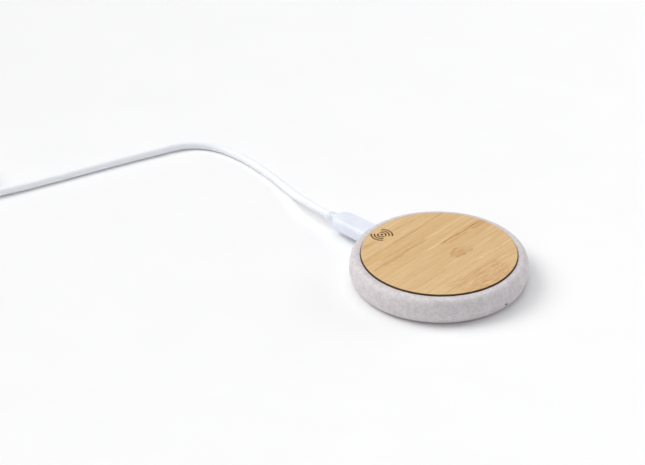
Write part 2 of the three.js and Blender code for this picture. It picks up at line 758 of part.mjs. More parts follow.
// From the neck of the plug down onto the table, and in a loose bend to the wound part.
const cordRoute = [
  [0, 71.6, 6],
  [0.1, 77, 6.1],
  [0.9, 84, 5.9],
  [2.3, 91, 5.2],
  [4.4, 98, 4.1],
  [7, 105, 2.95],
  [9.5, 112.5, 2.2],
  [11.6, 120, 1.96],
  [13.2, 128, 1.92],
  [14.5, 136.5, 1.92],
  [15.3, 145, 1.92],
  [15.3, 153.2, 1.92],
  [14.1, 162, 1.92],
  [10.9, 169.7, 1.92],
  [5.6, 175.5, 1.92],
  [-1.6, 179.4, 1.92],
  [-10.2, 182.3, 1.92],
  [-20, 185.8, 1.92],
  [-30.5, 189.2, 1.92],
  [-42.7, 193.1, 1.92],
  [-54.7, 196.8, 1.92],
  [-66.7, 200.6, 1.92],
  [-78.7, 204.5, 2],
  [-90.7, 208.6, 2.3],
  [-104.5, 214, 2.6],
];

// From the wound part to the neck of the far plug.
const tailRoute = [
  [-133.6, 258.7, 5.5],
  [-132.7, 263.5, 5],
  [-130.4, 267.9, 4.5],
  [-126.8, 272.3, 4.1],
  [-121, 276.2, 3.9],
];

const CORD_SIDES = 8;
const CORD_STEPS = 30;
const TAIL_STEPS = 5;
const WOUND_STEPS = 40;
const toPoint = ([x, y, z]) => new THREE.Vector3(x, y, z);
const woundWidth = WOUND_LANES * CORD_DIAMETER;
const woundInner = WOUND_RADIUS - woundWidth / 2;
const woundOuter = WOUND_RADIUS + woundWidth / 2;
const woundTop = WOUND_LIFT + WOUND_LAYERS * CORD_DIAMETER;

function woundCord() {
  const round = CORD_DIAMETER / 4;
  const shape = profile(
    [woundInner, WOUND_LIFT + round],
    [woundInner + round, WOUND_LIFT],
    [woundOuter - round, WOUND_LIFT],
    [woundOuter, WOUND_LIFT + round],
    [woundOuter, woundTop - round],
    [woundOuter - round, woundTop],
    [woundInner + round, woundTop],
    [woundInner, woundTop - round],
    [woundInner, WOUND_LIFT + round],
  );
  return turned(shape, WOUND_STEPS).translate(COIL_CENTRE.x, COIL_CENTRE.y, 0);
}

// A flat strap closed round one side of the wound cord.
function cordTie() {
  const sag = woundInner - Math.sqrt(woundInner ** 2 - (TIE_WIDTH / 2) ** 2);
  const low = WOUND_LIFT - TIE_SLACK;
  const high = woundTop + TIE_SLACK;
  const near = woundInner - sag - TIE_SLACK;
  const far = woundOuter + TIE_SLACK;
  const outer = rectangleShape(far - near + 2 * TIE_THICKNESS, high - low + 2 * TIE_THICKNESS);
  outer.holes.push(rectangleShape(far - near, high - low, THREE.Path));
  const strap = alongY(outer, -TIE_WIDTH / 2, TIE_WIDTH / 2, (low + high) / 2);
  strap.translate((near + far) / 2, 0, 0);
  strap.rotateZ(THREE.MathUtils.degToRad(TIE_ANGLE));
  return strap.translate(COIL_CENTRE.x, COIL_CENTRE.y, 0);
}

const cord = group(
  piece("cord", tube(cordRoute.map(toPoint), CORD_DIAMETER, CORD_SIDES, CORD_STEPS), "cordWhite"),
  piece("cord_coil", woundCord(), "cordWhite"),
  piece("cord_tail", tube(tailRoute.map(toPoint), CORD_DIAMETER, CORD_SIDES, TAIL_STEPS), "cordWhite"),
  piece("cord_tie", cordTie(), "insert"),
);

// ---------------------------------------------------------------- far plug

const USB_A_LIFT = 0.1; // of its grip off the table
const USB_A_TONGUE_HEIGHT = 1.9;
const USB_A_TONGUE_CLEARANCE = 0.1;
const USB_A_TONGUE_INSET = 0.4; // from the metal shell's mouth
const USB_A_WINDOW = new THREE.Vector2(2.4, 2.2);
const USB_A_WINDOW_OFFSET = 2.9; // of each window from the middle
const USB_A_WINDOW_BACK = 6.24; // from the grip's front to the windows' middle

// Drawn with its neck's end at the group's origin and its mouth towards -Y, then laid on the table.
const usbAHeight = USB_A_GRIP_HEIGHT / 2 + USB_A_LIFT;
const usbAGripFront = -USB_A_NECK_LENGTH - USB_A_GRIP_LENGTH;
const usbASections = grip(
  usbAGripFront,
  USB_A_GRIP_WIDTH,
  USB_A_GRIP_HEIGHT,
  USB_A_GRIP_LENGTH,
  USB_A_NECK_LENGTH,
);

function usbAShell() {
  const shape = rectangleShape(USB_A_WIDTH, USB_A_HEIGHT);
  const inside = rectangleShape(USB_A_WIDTH - 2 * USB_A_WALL, USB_A_HEIGHT - 2 * USB_A_WALL, THREE.Path);
  shape.holes.push(inside);
  const low = usbAHeight + USB_A_HEIGHT / 2 - USB_A_WALL - JOIN;
  const middle = usbAGripFront - USB_A_WINDOW_BACK;
  const windows = [-1, 1].map((side) => {
    return block(side * USB_A_WINDOW_OFFSET, middle, low, USB_A_WINDOW.x, USB_A_WINDOW.y, CUT_PAST);
  });
  const shellTube = alongY(shape, usbAGripFront - USB_A_REACH, usbAGripFront - SLIP, usbAHeight);
  return carve(shellTube, [], windows);
}

function usbATongue() {
  const width = USB_A_WIDTH - 2 * (USB_A_WALL + USB_A_TONGUE_CLEARANCE);
  const low = usbAHeight - USB_A_HEIGHT / 2 + USB_A_WALL + USB_A_TONGUE_CLEARANCE;
  const front = usbAGripFront - USB_A_REACH + USB_A_TONGUE_INSET;
  const back = usbAGripFront - USB_A_TONGUE_CLEARANCE;
  return block(0, (front + back) / 2, low, width, back - front, USB_A_TONGUE_HEIGHT);
}

const farPlug = group(
  piece("usb_a_shell", usbAShell(), "steel"),
  piece("usb_a_tongue", usbATongue(), "whitePlastic"),
  piece("usb_a_grip", lofted(usbASections, usbAHeight), "whitePlastic"),
);
farPlug.position.set(USB_A_PLACE.x, USB_A_PLACE.y, 0);
farPlug.rotation.z = THREE.MathUtils.degToRad(USB_A_HEADING + 90);

// ---------------------------------------------------------------- the whole pad

const pad = group(casing, chargingFace, coilStack, electronics, socket);
const cable = group(nearPlug, cord, farPlug);

export default group(pad, cable);
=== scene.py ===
"""A round wireless charging pad with a bamboo face, and its white cable, in Blender."""

import math

import bmesh
import bpy
from mathutils import Matrix, Vector


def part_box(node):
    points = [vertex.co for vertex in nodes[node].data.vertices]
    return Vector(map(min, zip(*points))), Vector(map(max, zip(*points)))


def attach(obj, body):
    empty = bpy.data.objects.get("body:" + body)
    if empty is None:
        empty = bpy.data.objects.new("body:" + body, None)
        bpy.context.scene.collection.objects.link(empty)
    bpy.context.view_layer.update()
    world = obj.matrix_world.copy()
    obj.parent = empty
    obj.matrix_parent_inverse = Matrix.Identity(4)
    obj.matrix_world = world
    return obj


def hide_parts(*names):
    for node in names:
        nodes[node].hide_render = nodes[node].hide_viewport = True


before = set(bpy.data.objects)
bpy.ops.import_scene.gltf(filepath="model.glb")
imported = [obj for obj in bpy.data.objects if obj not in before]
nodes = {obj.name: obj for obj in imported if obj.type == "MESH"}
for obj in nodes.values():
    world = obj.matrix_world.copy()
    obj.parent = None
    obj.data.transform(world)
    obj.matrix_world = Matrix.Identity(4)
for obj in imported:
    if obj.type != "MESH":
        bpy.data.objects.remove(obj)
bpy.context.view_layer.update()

MM = 0.001  # one millimetre in metres
ROUND = 192  # steps round the casing
SMALL = 32  # steps round a small hole or post
CUT = 1  # how far a cutting shape runs past the face that it cuts
SHARP = math.radians(32)  # edges sharper than this stay sharp


# ---------------------------------------------------------------- camera

LENS = 179.6
PITCH = math.radians(31.16)
TURN = math.radians(-46.5)
DISTANCE = 1.53  # metres
ASIDE = 0.03606  # where the pad's base sits in the picture, right of and below the middle
BELOW = 0.01436


def turned(vector):
    return Matrix.Rotation(TURN, 3, "Z") @ Vector(vector)


FORWARD = turned((0, 1, 0))  # away from the camera, along the floor
RIGHT = turned((1, 0, 0))


def make_camera():
    ahead = turned((0, math.cos(PITCH), -math.sin(PITCH)))
    down = turned((0, -math.sin(PITCH), -math.cos(PITCH)))
    ray = (ahead + ASIDE * RIGHT + BELOW * down).normalized()
    data = bpy.data.cameras.new("camera")
    data.lens = LENS
    data.sensor_width = 36
    data.sensor_fit = "HORIZONTAL"
    data.clip_start = 0.05
    data.clip_end = 60
    camera = bpy.data.objects.new("camera", data)
    bpy.context.scene.collection.objects.link(camera)
    axes = Matrix((RIGHT, -down, -ahead)).transposed()
    camera.matrix_world = Matrix.Translation(-DISTANCE * ray) @ axes.to_4x4()
    bpy.context.scene.camera = camera


make_camera()


# ---------------------------------------------------------------- cord

CORD_RADIUS = 1.9
CORD_ROUTE = [
    (0, 69.8, 6),
    (0, 72.4, 6.01),
    (0.1, 77, 6.1),
    (0.9, 84, 5.9),
    (2.3, 91, 5.2),
    (4.4, 98, 4.1),
    (7, 105, 2.95),
    (9.5, 112.5, 2.2),
    (11.6, 120, 1.96),
    (13.2, 128, 1.92),
    (14.5, 136.5, 1.92),
    (15.3, 145, 1.92),
    (15.3, 153.2, 1.92),
    (14.1, 162, 1.92),
    (10.9, 169.7, 1.92),
    (5.6, 175.5, 1.92),
    (-1.6, 179.4, 1.92),
    (-10.2, 182.3, 1.92),
    (-20, 185.8, 1.92),
    (-30.5, 189.2, 1.92),
    (-42.7, 193.1, 1.92),
    (-54.7, 196.8, 1.92),
    (-66.7, 200.6, 1.92),
    (-78.7, 204.5, 2),
    (-90.7, 208.6, 2.3),
    (-104.5, 214, 2.6),
]
CORD_TAIL = [
    (-133.9, 245.5, 6.4),
    (-134.2, 252.3, 6.1),
    (-133.6, 258.7, 5.5),
    (-132.7, 263.5, 5),
    (-130.4, 267.9, 4.5),
    (-126.8, 272.3, 4.1),
    (-121, 276.2, 3.9),
    (-119.4, 277, 3.9),
]
WOUND_CENTRE = (-107.2, 243.8)
WOUND_RADIUS = 22
WOUND_LIFT = 0.8
WOUND_START = 244.4  # degrees
WOUND_TURNS = 5.15
WOUND_PER_TURN = 18
LANE_CHANGES = [(0.72, -1), (1.72, -1), (3.15, 1), (4.15, 1)]  # turn, and inwards or outwards
LAYER_CHANGE = 2.45
CHANGE_TIME = 0.25


def eased(value):
    value = min(1, max(0, value))
    return value * value * (3 - 2 * value)


def wound_points():
    lane = 2 * CORD_RADIUS
    count = round(WOUND_TURNS * WOUND_PER_TURN)
    points = []
    for i in range(count + 1):
        turn = WOUND_TURNS * i / count
        radius = WOUND_RADIUS + lane
        for start, side in LANE_CHANGES:
            radius += side * lane * eased((turn - start) / CHANGE_TIME)
        height = WOUND_LIFT + CORD_RADIUS + lane * eased((turn - LAYER_CHANGE) / CHANGE_TIME)
        angle = math.radians(WOUND_START - 360 * turn)
        x = WOUND_CENTRE[0] + radius * math.cos(angle)
        y = WOUND_CENTRE[1] + radius * math.sin(angle)
        points.append((x, y, height))
    return points


def make_cord():
    points = CORD_ROUTE + wound_points() + CORD_TAIL
    data = bpy.data.curves.new("cable_cord", "CURVE")
    data.dimensions = "3D"
    data.resolution_u = 8
    data.bevel_depth = 1.0
    data.bevel_resolution = 6
    data.use_fill_caps = True
    spline = data.splines.new("BEZIER")
    spline.bezier_points.add(len(points) - 1)
    for bezier, point in zip(spline.bezier_points, points):
        bezier.co = Vector(point) * MM
        bezier.radius = CORD_RADIUS * MM
        bezier.handle_left_type = "AUTO"
        bezier.handle_right_type = "AUTO"
    cord = bpy.data.objects.new("cable_cord", data)
    bpy.context.scene.collection.objects.link(cord)
    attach(cord, "cable")
    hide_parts("cord", "cord_coil", "cord_tail")
    return cord


cord = make_cord()


# ---------------------------------------------------------------- materials


def srgb(red, green, blue):
    """A colour given as 0 to 255 on a screen, in the linear values that shaders use."""
    linear = []
    for value in (red, green, blue):
        value /= 255
        linear.append(value / 12.92 if value <= 0.04045 else ((value + 0.055) / 1.055) ** 2.4)
    return (*linear, 1.0)


class Value:
    """A number or colour made by a material's nodes, with sums on it written as sums."""

    def __init__(self, tree, socket):
        self.tree = tree
        self.socket = socket

    def math(self, operation, *others):
        return node_math(self.tree, operation, self, *others)

    def __add__(self, other):
        return self.math("ADD", other)

    def __sub__(self, other):
        return self.math("SUBTRACT", other)

    def __rsub__(self, other):
        return node_math(self.tree, "SUBTRACT", other, self)

    def __mul__(self, other):
        return self.math("MULTIPLY", other)

    def __truediv__(self, other):
        return self.math("DIVIDE", other)

    def __abs__(self):
        return self.math("ABSOLUTE")

    def floor(self):
        return self.math("FLOOR")

    def highest(self, other):
        return self.math("MAXIMUM", other)

    def ramp(self, low, high, first=0.0, last=1.0):
        """Eases from first, where this is at low, to last, where it is at high."""
        node = self.tree.nodes.new("ShaderNodeMapRange")
        node.interpolation_type = "SMOOTHSTEP"
        feed(self.tree, node.inputs["Value"], self)
        feed(self.tree, node.inputs["From Min"], low)
        feed(self.tree, node.inputs["From Max"], high)
        feed(self.tree, node.inputs["To Min"], first)
        feed(self.tree, node.inputs["To Max"], last)
        return Value(self.tree, node.outputs["Result"])

    def near(self, middle, half, soft):
        """1 within half of the middle, and 0 further off than half and soft together."""
        return abs(self - middle).ramp(half, half + soft, 1.0, 0.0)

    def between(self, low, high, soft):
        return self.near((low + high) / 2, (high - low) / 2, soft)


def feed(tree, socket, given):
    if isinstance(given, Value):
        tree.links.new(given.socket, socket)
    elif given is not None:
        socket.default_value = given


def node_math(tree, operation, *given):
    node = tree.nodes.new("ShaderNodeMath")
    node.operation = operation
    for socket, value in zip(node.inputs, given):
        feed(tree, socket, value)
    return Value(tree, node.outputs[0])


class Paint:
    """A procedural material whose places are in millimetres on the object."""

    def __init__(self, name, spread="Object", **uniform):
        self.material = bpy.data.materials.new(name)
        self.material.use_nodes = True
        self.tree = self.material.node_tree
        self.shader = self.tree.nodes["Principled BSDF"]
        for key, value in uniform.items():
            self.shader.inputs[key.replace("_", " ")].default_value = value
        place = self.tree.nodes.new("ShaderNodeTexCoord")
        split = self.tree.nodes.new("ShaderNodeSeparateXYZ")
        self.tree.links.new(place.outputs[spread], split.inputs[0])
        scale = 1 / MM if spread == "Object" else 1
        self.x, self.y, self.z = (Value(self.tree, out) * scale for out in split.outputs)

    def vector(self, x, y, z):
        node = self.tree.nodes.new("ShaderNodeCombineXYZ")
        for socket, value in zip(node.inputs, (x, y, z)):
            feed(self.tree, socket, value)
        return Value(self.tree, node.outputs[0])

    def noise(self, size, detail=2.0, rough=0.5, seed=0.0, at=None):
        """Soft noise, about 0.5, in blobs of that size (a number, or one for each of X, Y and Z)."""
        sizes = size if isinstance(size, tuple) else (size, size, size)
        x, y, z = at or (self.x, self.y, self.z)
        node = self.tree.nodes.new("ShaderNodeTexNoise")
        spot = self.vector(x / sizes[0] + seed, y / sizes[1] + 2 * seed, z / sizes[2] - seed)
        feed(self.tree, node.inputs["Vector"], spot)
        node.inputs["Scale"].default_value = 1.0
        node.inputs["Detail"].default_value = detail
        node.inputs["Roughness"].default_value = rough
        return Value(self.tree, node.outputs[0])

    def cells(self, size, at=None):
        """The distance to the nearest of scattered points about size apart, and its random value."""
        x, y, z = at or (self.x, self.y, self.z)
        node = self.tree.nodes.new("ShaderNodeTexVoronoi")
        feed(self.tree, node.inputs["Vector"], self.vector(x / size, y / size, z / size))
        node.inputs["Scale"].default_value = 1.0
        split = self.tree.nodes.new("ShaderNodeSeparateColor")
        self.tree.links.new(node.outputs["Color"], split.inputs[0])
        return Value(self.tree, node.outputs["Distance"]) * size, Value(self.tree, split.outputs[0])

    def random(self, value):
        node = self.tree.nodes.new("ShaderNodeTexWhiteNoise")
        node.noise_dimensions = "1D"
        feed(self.tree, node.inputs["W"], value)
        return Value(self.tree, node.outputs["Value"])

    def mix(self, first, second, share):
        node = self.tree.nodes.new("ShaderNodeMix")
        node.data_type = "RGBA"
        feed(self.tree, node.inputs[0], share)
        feed(self.tree, node.inputs[6], first)
        feed(self.tree, node.inputs[7], second)
        return Value(self.tree, node.outputs[2])

    def colour(self, value):
        feed(self.tree, self.shader.inputs["Base Color"], value)

    def rough(self, value):
        feed(self.tree, self.shader.inputs["Roughness"], value)

    def metal(self, value):
        feed(self.tree, self.shader.inputs["Metallic"], value)

    def relief(self, height, strength=1.0):
        """Fine surface relief, its height in millimetres."""
        node = self.tree.nodes.new("ShaderNodeBump")
        node.inputs["Distance"].default_value = MM
        node.inputs["Strength"].default_value = strength
        feed(self.tree, node.inputs["Height"], height)
        self.tree.links.new(node.outputs[0], self.shader.inputs["Normal"])


def straw_plastic():
    """Warm grey plastic filled with ground straw: soft mottling, flecks and short fibres."""
    p = Paint("straw_plastic", IOR=1.48)
    broad = p.noise(5.5, 2.0, seed=3).ramp(0.36, 0.64)
    blotch = p.noise(1.7, 3.0, 0.6, seed=11).ramp(0.38, 0.62)
    grain = p.noise(0.55, 2.0, seed=21).ramp(0.3, 0.7)
    colour = p.mix(srgb(217, 211, 213), srgb(187, 180, 183), blotch * 0.38 + broad * 0.25)
    colour = p.mix(colour, srgb(236, 232, 235), grain.ramp(0.55, 1.0) * 0.3)
    colour = p.mix(colour, srgb(190, 176, 172), p.noise(0.9, 2.0, seed=33).ramp(0.6, 0.74) * 0.28)
    angle_sets = [(0.9, 0.44), (-0.6, 0.8), (0.2, -0.98)]
    relief = blotch * 0.012 + grain * 0.01
    for number, (along, across) in enumerate(angle_sets):
        u = p.x * along + p.y * across + p.z * 0.35 * (number - 1)
        v = p.y * along - p.x * across + p.z * 0.8
        fibre = p.noise((1.9, 0.28, 0.5), 1.0, seed=7 + 5 * number, at=(u, v, p.z)).ramp(0.69, 0.75)
        tone = srgb(168, 141, 112) if number != 1 else srgb(252, 248, 242)
        colour = p.mix(colour, tone, fibre * 0.5)
        relief = relief + fibre * 0.012
    distance, chance = p.cells(1.3)
    speck = distance.ramp(0.1, 0.2, 1.0, 0.0) * chance.ramp(0.72, 0.76)
    colour = p.mix(colour, srgb(122, 98, 78), speck * 0.75)
    p.colour(colour)
    p.rough(blotch * 0.12 + 0.46)
    p.relief(relief)
    return p.material


STRIP_WIDTH = 7.6  # of the bamboo's laminated strips
STRIP_EDGE = 5.2
GRAIN_SLOPE = 0.035  # the grain runs a little off the X axis
FACE_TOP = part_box("bamboo_disc")[1].z / MM
FACE_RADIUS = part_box("bamboo_disc")[1].x / MM
BROWN = srgb(172, 126, 78)
RED_BROWN = srgb(172, 104, 56)
PALE = srgb(247, 221, 176)
# Streaks: where each crosses the middle, its slope, half its width, from and to along X, colour, strength.
STREAKS = [
    (28.8, 0.0, 0.45, -21, -13, BROWN, 0.5),
    (29.0, 0.0, 0.35, 2.5, 17, BROWN, 0.5),
    (21.6, 0.048, 0.5, -30, 34, BROWN, 0.38),
    (15.6, 0.03, 0.5, -22, -4, BROWN, 0.3),
    (12.8, 0.044, 0.6, -31, 3, BROWN, 0.52),
    (11.6, 0.04, 0.4, -24, -14, BROWN, 0.4),
    (5.6, 0.02, 0.25, -4, 15, PALE, 0.6),
    (4.5, 0.02, 0.35, 8, 38, RED_BROWN, 0.75),
    (2.7, 0.01, 0.45, 12, 22, RED_BROWN, 0.5),
    (2.6, 0.02, 0.5, 29, 37, RED_BROWN, 0.5),
    (-7.4, 0.02, 0.5, 14, 33, BROWN, 0.3),
    (-17.4, 0.02, 0.35, 10, 33, PALE, 0.65),
    (-12.4, 0.03, 0.3, -30, -12, BROWN, 0.25),
]


def bamboo():
    """Laminated bamboo, its grain along X: strips, streaks, fibres, a node, and scorched cut edges."""
    p = Paint("bamboo", IOR=1.45)
    sway = (p.noise((38, 9, 60), 2.0, seed=5) - 0.5) * 2.2
    y = p.y - p.x * GRAIN_SLOPE + sway
    across = (p.y - p.x * GRAIN_SLOPE - STRIP_EDGE + sway * 0.4) / STRIP_WIDTH
    strip = across.floor()
    tone = p.random(strip + 0.5)
    along = p.x + tone * 300
    spot = (along, y, p.z)
    broad = p.noise((60, 3.4, 9), 2.0, seed=1, at=spot).ramp(0.3, 0.7)
    streak = p.noise((26, 0.95, 9), 3.0, 0.6, seed=2, at=spot).ramp(0.32, 0.68)
    fine = p.noise((9, 0.34, 9), 2.0, 0.6, seed=3, at=spot).ramp(0.35, 0.65)
    dashes = p.noise((3.6, 0.22, 9), 1.0, seed=4, at=spot).ramp(0.6, 0.72)
    flake = p.noise((2.4, 0.8, 9), 3.0, 0.6, seed=6, at=spot).ramp(0.35, 0.65)
    colour = p.mix(srgb(229, 198, 150), srgb(217, 181, 130), broad * 0.55 + tone * 0.35)
    colour = p.mix(colour, srgb(202, 160, 107), streak * 0.3 + fine * 0.16 + flake * 0.1)
    colour = p.mix(colour, srgb(188, 142, 92), dashes * 0.3)

    within = across - strip
    edge = within.near(0.0, 0.01, 0.03).highest(within.near(1.0, 0.01, 0.03))
    edge_look = p.noise((22, 8, 9), 1.0, seed=9)
    colour = p.mix(colour, srgb(182, 138, 90), edge * edge_look.ramp(0.46, 0.64) * 0.45)
    colour = p.mix(colour, PALE, edge * edge_look.ramp(0.5, 0.36) * 0.45)

    wander = (p.noise((12, 5, 9), 2.0, seed=12) - 0.5) * 1.6
    wander = wander + (p.noise((3.2, 1.4, 9), 2.0, seed=13) - 0.5) * 1.1
    for number, (middle, slope, half, low, high, tint, strength) in enumerate(STREAKS):
        ragged = p.noise((6, 0.8, 9), 2.0, 0.6, seed=20 + number).ramp(0.34, 0.62)
        line = (p.y - p.x * slope + wander).near(middle, half * 0.4, half * 1.8)
        mask = line * p.x.between(low, high, 4.0) * (ragged * 0.75 + 0.25)
        colour = p.mix(colour, tint, mask * strength)

    # The node in the bamboo: a wedge open to +X, darkest along its front edges.
    x_bent = p.x + (p.noise((2.2, 1.1, 9), 3.0, 0.65, seed=14) - 0.5) * 4.5
    y_bent = p.y + (p.noise((2.6, 0.9, 9), 3.0, 0.65, seed=15) - 0.5) * 2.6
    top = (x_bent - 7.2).math("MINIMUM", 0.0) * 0.55 - 2.6
    torn = p.noise((2.6, 0.55, 9), 3.0, 0.7, seed=16).ramp(0.38, 0.6)
    wedge = (top - y_bent).ramp(-0.8, 1.2) * (y_bent + 9.6).ramp(-0.8, 1.0)
    wedge = wedge * x_bent.ramp(1.2, 4.0) * x_bent.ramp(8.0, 15.5, 1.0, 0.0)
    rim = (y_bent - top).near(-0.3, 0.2, 0.8) * x_bent.between(2, 8, 1.5) * (torn * 0.6 + 0.4)
    base = y_bent.near(-9.0, 0.3, 0.9) * x_bent.between(4.4, 12.5, 2.0) * (torn * 0.7 + 0.3)
    barbs = (y_bent * 1.4 + x_bent * 0.9).math("FRACT").near(0.5, 0.08, 0.3)
    barbs = barbs * wedge * x_bent.between(3, 9, 1.5)
    colour = p.mix(colour, srgb(198, 150, 96), wedge * (torn * 0.75 + 0.25) * 0.7)
    colour = p.mix(colour, srgb(172, 124, 76), barbs * torn * 0.4)
    colour = p.mix(colour, srgb(166, 118, 70), rim.highest(base) * 0.5)

    patch = p.x.between(-15, 11, 7.0) * p.y.between(-36, -23, 2.5)
    lines = p.noise((5, 0.5, 9), 3.0, 0.7, seed=17).ramp(0.44, 0.62)
    colour = p.mix(colour, srgb(188, 130, 84), patch * lines * 0.6)

    reach = (p.x * p.x + p.y * p.y).math("SQRT")
    burnt = (reach - FACE_RADIUS).ramp(-0.2, -0.02)
    sunk = (p.z - FACE_TOP).ramp(-0.13, -0.04, 1.0, 0.0)
    char = p.noise(1.1, 2.0, seed=19)
    colour = p.mix(colour, p.mix(srgb(132, 88, 38), srgb(92, 60, 24), char), sunk)
    colour = p.mix(colour, p.mix(srgb(98, 64, 32), srgb(66, 42, 20), char), burnt)
    p.colour(colour)
    p.rough(streak * 0.1 + 0.5)
    p.relief(fine * 0.012 + streak * 0.012 - dashes * 0.01 - edge * 0.01)
    return p.material


def white_plastic(name, base, shade, roughness):
    """Soft white moulded plastic, with a faint skin texture and slight unevenness."""
    p = Paint(name, IOR=1.46)
    cloud = p.noise(9, 2.0, seed=1).ramp(0.3, 0.7)
    mottle = p.noise(1.4, 3.0, seed=2).ramp(0.35, 0.65)
    p.colour(p.mix(p.mix(base, shade, cloud * 0.45), shade, mottle * 0.3))
    p.rough(mottle * 0.1 + roughness)
    p.relief(p.noise(0.35, 2.0, seed=3) * 0.02 + mottle * 0.008)
    return p.material


def steel(name, tint, roughness=0.22, grain=(9, 0.25, 9)):
    """Plated metal with a drawn grain and faint scuffs."""
    p = Paint(name, Metallic=1.0)
    drawn = p.noise(grain, 3.0, 0.6, seed=1).ramp(0.3, 0.7)
    scuff = p.noise(1.7, 3.0, 0.65, seed=2).ramp(0.45, 0.75)
    darker = tuple(0.72 * value for value in tint[:3]) + (1.0,)
    p.colour(p.mix(tint, darker, drawn * 0.4 + scuff * 0.35))
    p.rough(drawn * 0.12 + scuff * 0.14 + roughness)
    p.relief(drawn * 0.004 + scuff * 0.002)
    return p.material


def moulded(name, base, shade, roughness=0.45, size=0.8, metallic=0.0):
    """A plain moulded, pressed or printed material: two tones in fine mottling over a matt skin."""
    p = Paint(name, Metallic=metallic)
    cloud = p.noise(size * 6, 2.0, seed=4).ramp(0.3, 0.7)
    grain = p.noise(size, 3.0, 0.6, seed=5).ramp(0.35, 0.65)
    p.colour(p.mix(base, shade, cloud * 0.4 + grain * 0.45))
    p.rough(grain * 0.12 + roughness)
    p.relief(grain * 0.012)
    return p.material


def litz():
    """Fine enamelled copper strands, twisted round the winding, with painted shade between the strands."""
    p = Paint("copper_litz", Metallic=1.0)
    reach = (p.x * p.x + p.y * p.y).math("SQRT")
    angle = p.y.math("ARCTAN2", p.x)
    strand = (reach * 21 + angle * 90 + p.z * 9).math("SINE")
    groove = strand.ramp(-1.0, 0.4)
    wear = p.noise(1.2, 2.0, seed=1).ramp(0.35, 0.65)
    # Painted shade: the low places between the strands are painted dark copper, and the strand tops bright
    # copper.
    p.colour(p.mix(srgb(128, 62, 30), p.mix(srgb(206, 124, 74), srgb(184, 98, 54), wear), groove))
    p.rough(0.42 - groove * 0.12)
    p.relief(groove * 0.05)
    return p.material


def circuit_board():
    """Green solder mask over copper tracks, with tinned pads."""
    p = Paint("board_green", IOR=1.5)
    warp = p.noise(9, 1.0, seed=1) * 3
    track = ((p.x + p.y).math("SINE") * 0.6 + (p.x * 1.7 + warp).math("SINE")).ramp(0.25, 0.45)
    cross = ((p.y * 1.7 - warp).math("SINE") + (p.x - p.y).math("SINE") * 0.5).ramp(0.35, 0.55)
    mask = p.mix(srgb(20, 78, 44), srgb(38, 112, 62), track.highest(cross))
    distance, chance = p.cells(3.1)
    pad = distance.ramp(0.42, 0.5, 1.0, 0.0) * chance.ramp(0.6, 0.62)
    weave = ((p.x * 9).math("SINE") * (p.y * 9).math("SINE")).ramp(-0.5, 0.9)
    p.colour(p.mix(mask, srgb(196, 196, 190), pad))
    p.metal(pad * 0.9)
    p.rough(0.38 - pad * 0.12 + weave * 0.06)
    p.relief(track.highest(cross) * 0.03 + pad * 0.03 + weave * 0.006)
    return p.material


def end_capped(name, base, shade):
    """A chip component: a ceramic body with tinned ends."""
    p = Paint(name, spread="Generated")
    end = abs(p.x - 0.5).ramp(0.33, 0.35)
    grain = p.noise(0.12, 3.0, seed=2).ramp(0.35, 0.65)
    p.colour(p.mix(p.mix(base, shade, grain), srgb(205, 206, 203), end))
    p.metal(end * 0.95)
    p.rough(0.5 - end * 0.18 + grain * 0.08)
    p.relief(end * 0.03 + grain * 0.01)
    return p.material


def strap_fabric():
    """Woven hook-and-loop strap, with painted shade in the low places of its weave."""
    p = Paint("strap_fabric", IOR=1.4, Sheen_Weight=0.3)
    rows = (p.z * 11 + p.x * 2).math("SINE") * (p.x * 9 - p.y * 9).math("SINE")
    fuzz = p.noise(0.35, 3.0, 0.7, seed=1).ramp(0.3, 0.7)
    weave = rows.ramp(-0.6, 0.8)
    # Painted shade: the strap is painted greyer where the weave and the fuzz sink.
    p.colour(p.mix(srgb(196, 199, 206), srgb(238, 240, 245), weave * 0.6 + fuzz * 0.4))
    p.rough(0.85 - fuzz * 0.1)
    p.relief(weave * 0.05 + fuzz * 0.04)
    return p.material


def clear_lens():
    """The smoky end of the light rod."""
    p = Paint("light_guide", IOR=1.5, Transmission_Weight=0.35)
    cloud = p.noise(0.6, 2.0, seed=1).ramp(0.3, 0.7)
    p.colour(p.mix(srgb(70, 72, 80), srgb(34, 35, 41), cloud))
    p.rough(cloud * 0.08 + 0.14)
    p.relief(cloud * 0.006)
    return p.material


MATERIALS = {
    "straw_plastic": straw_plastic(),
    "bamboo": bamboo(),
    "plug_white": white_plastic("plug_white", srgb(235, 239, 248), srgb(219, 225, 238), 0.36),
    "cord_white": white_plastic("cord_white", srgb(247, 248, 252), srgb(236, 239, 246), 0.4),
    "steel": steel("steel", srgb(205, 206, 208)),
    "gold": steel("gold", srgb(226, 186, 98), 0.2),
    "connector_black": moulded("connector_black", srgb(26, 26, 28), srgb(42, 42, 45), 0.42),
    "tongue_white": moulded("tongue_white", srgb(232, 233, 234), srgb(216, 217, 220), 0.4),
    "silicone": moulded("silicone", srgb(150, 149, 150), srgb(130, 129, 131), 0.6),
    "adhesive": moulded("adhesive", srgb(226, 219, 196), srgb(204, 195, 168), 0.55, 1.4),
    "ferrite": moulded("ferrite", srgb(52, 52, 57), srgb(36, 36, 40), 0.5, 0.5, 0.25),
    "chip_black": moulded("chip_black", srgb(30, 30, 32), srgb(44, 44, 46), 0.5, 0.3),
    "capacitor_tan": end_capped("capacitor_tan", srgb(184, 152, 108), srgb(164, 131, 90)),
    "resistor_black": end_capped("resistor_black", srgb(28, 28, 30), srgb(42, 42, 44)),
    "led_white": end_capped("led_white", srgb(236, 226, 150), srgb(222, 205, 110)),
    "light_guide": clear_lens(),
    "copper_litz": litz(),
    "board_green": circuit_board(),
    "tie_white": strap_fabric(),
}


def wear(obj, material):
    obj.data.materials.clear()
    obj.data.materials.append(MATERIALS[material])


wear(cord, "cord_white")


# ---------------------------------------------------------------- mesh tools


def shade(obj):
    mesh = obj.data
    mesh.polygons.foreach_set("use_smooth", [True] * len(mesh.polygons))
    mesh.set_sharp_from_angle(angle=SHARP)
    mesh.update()


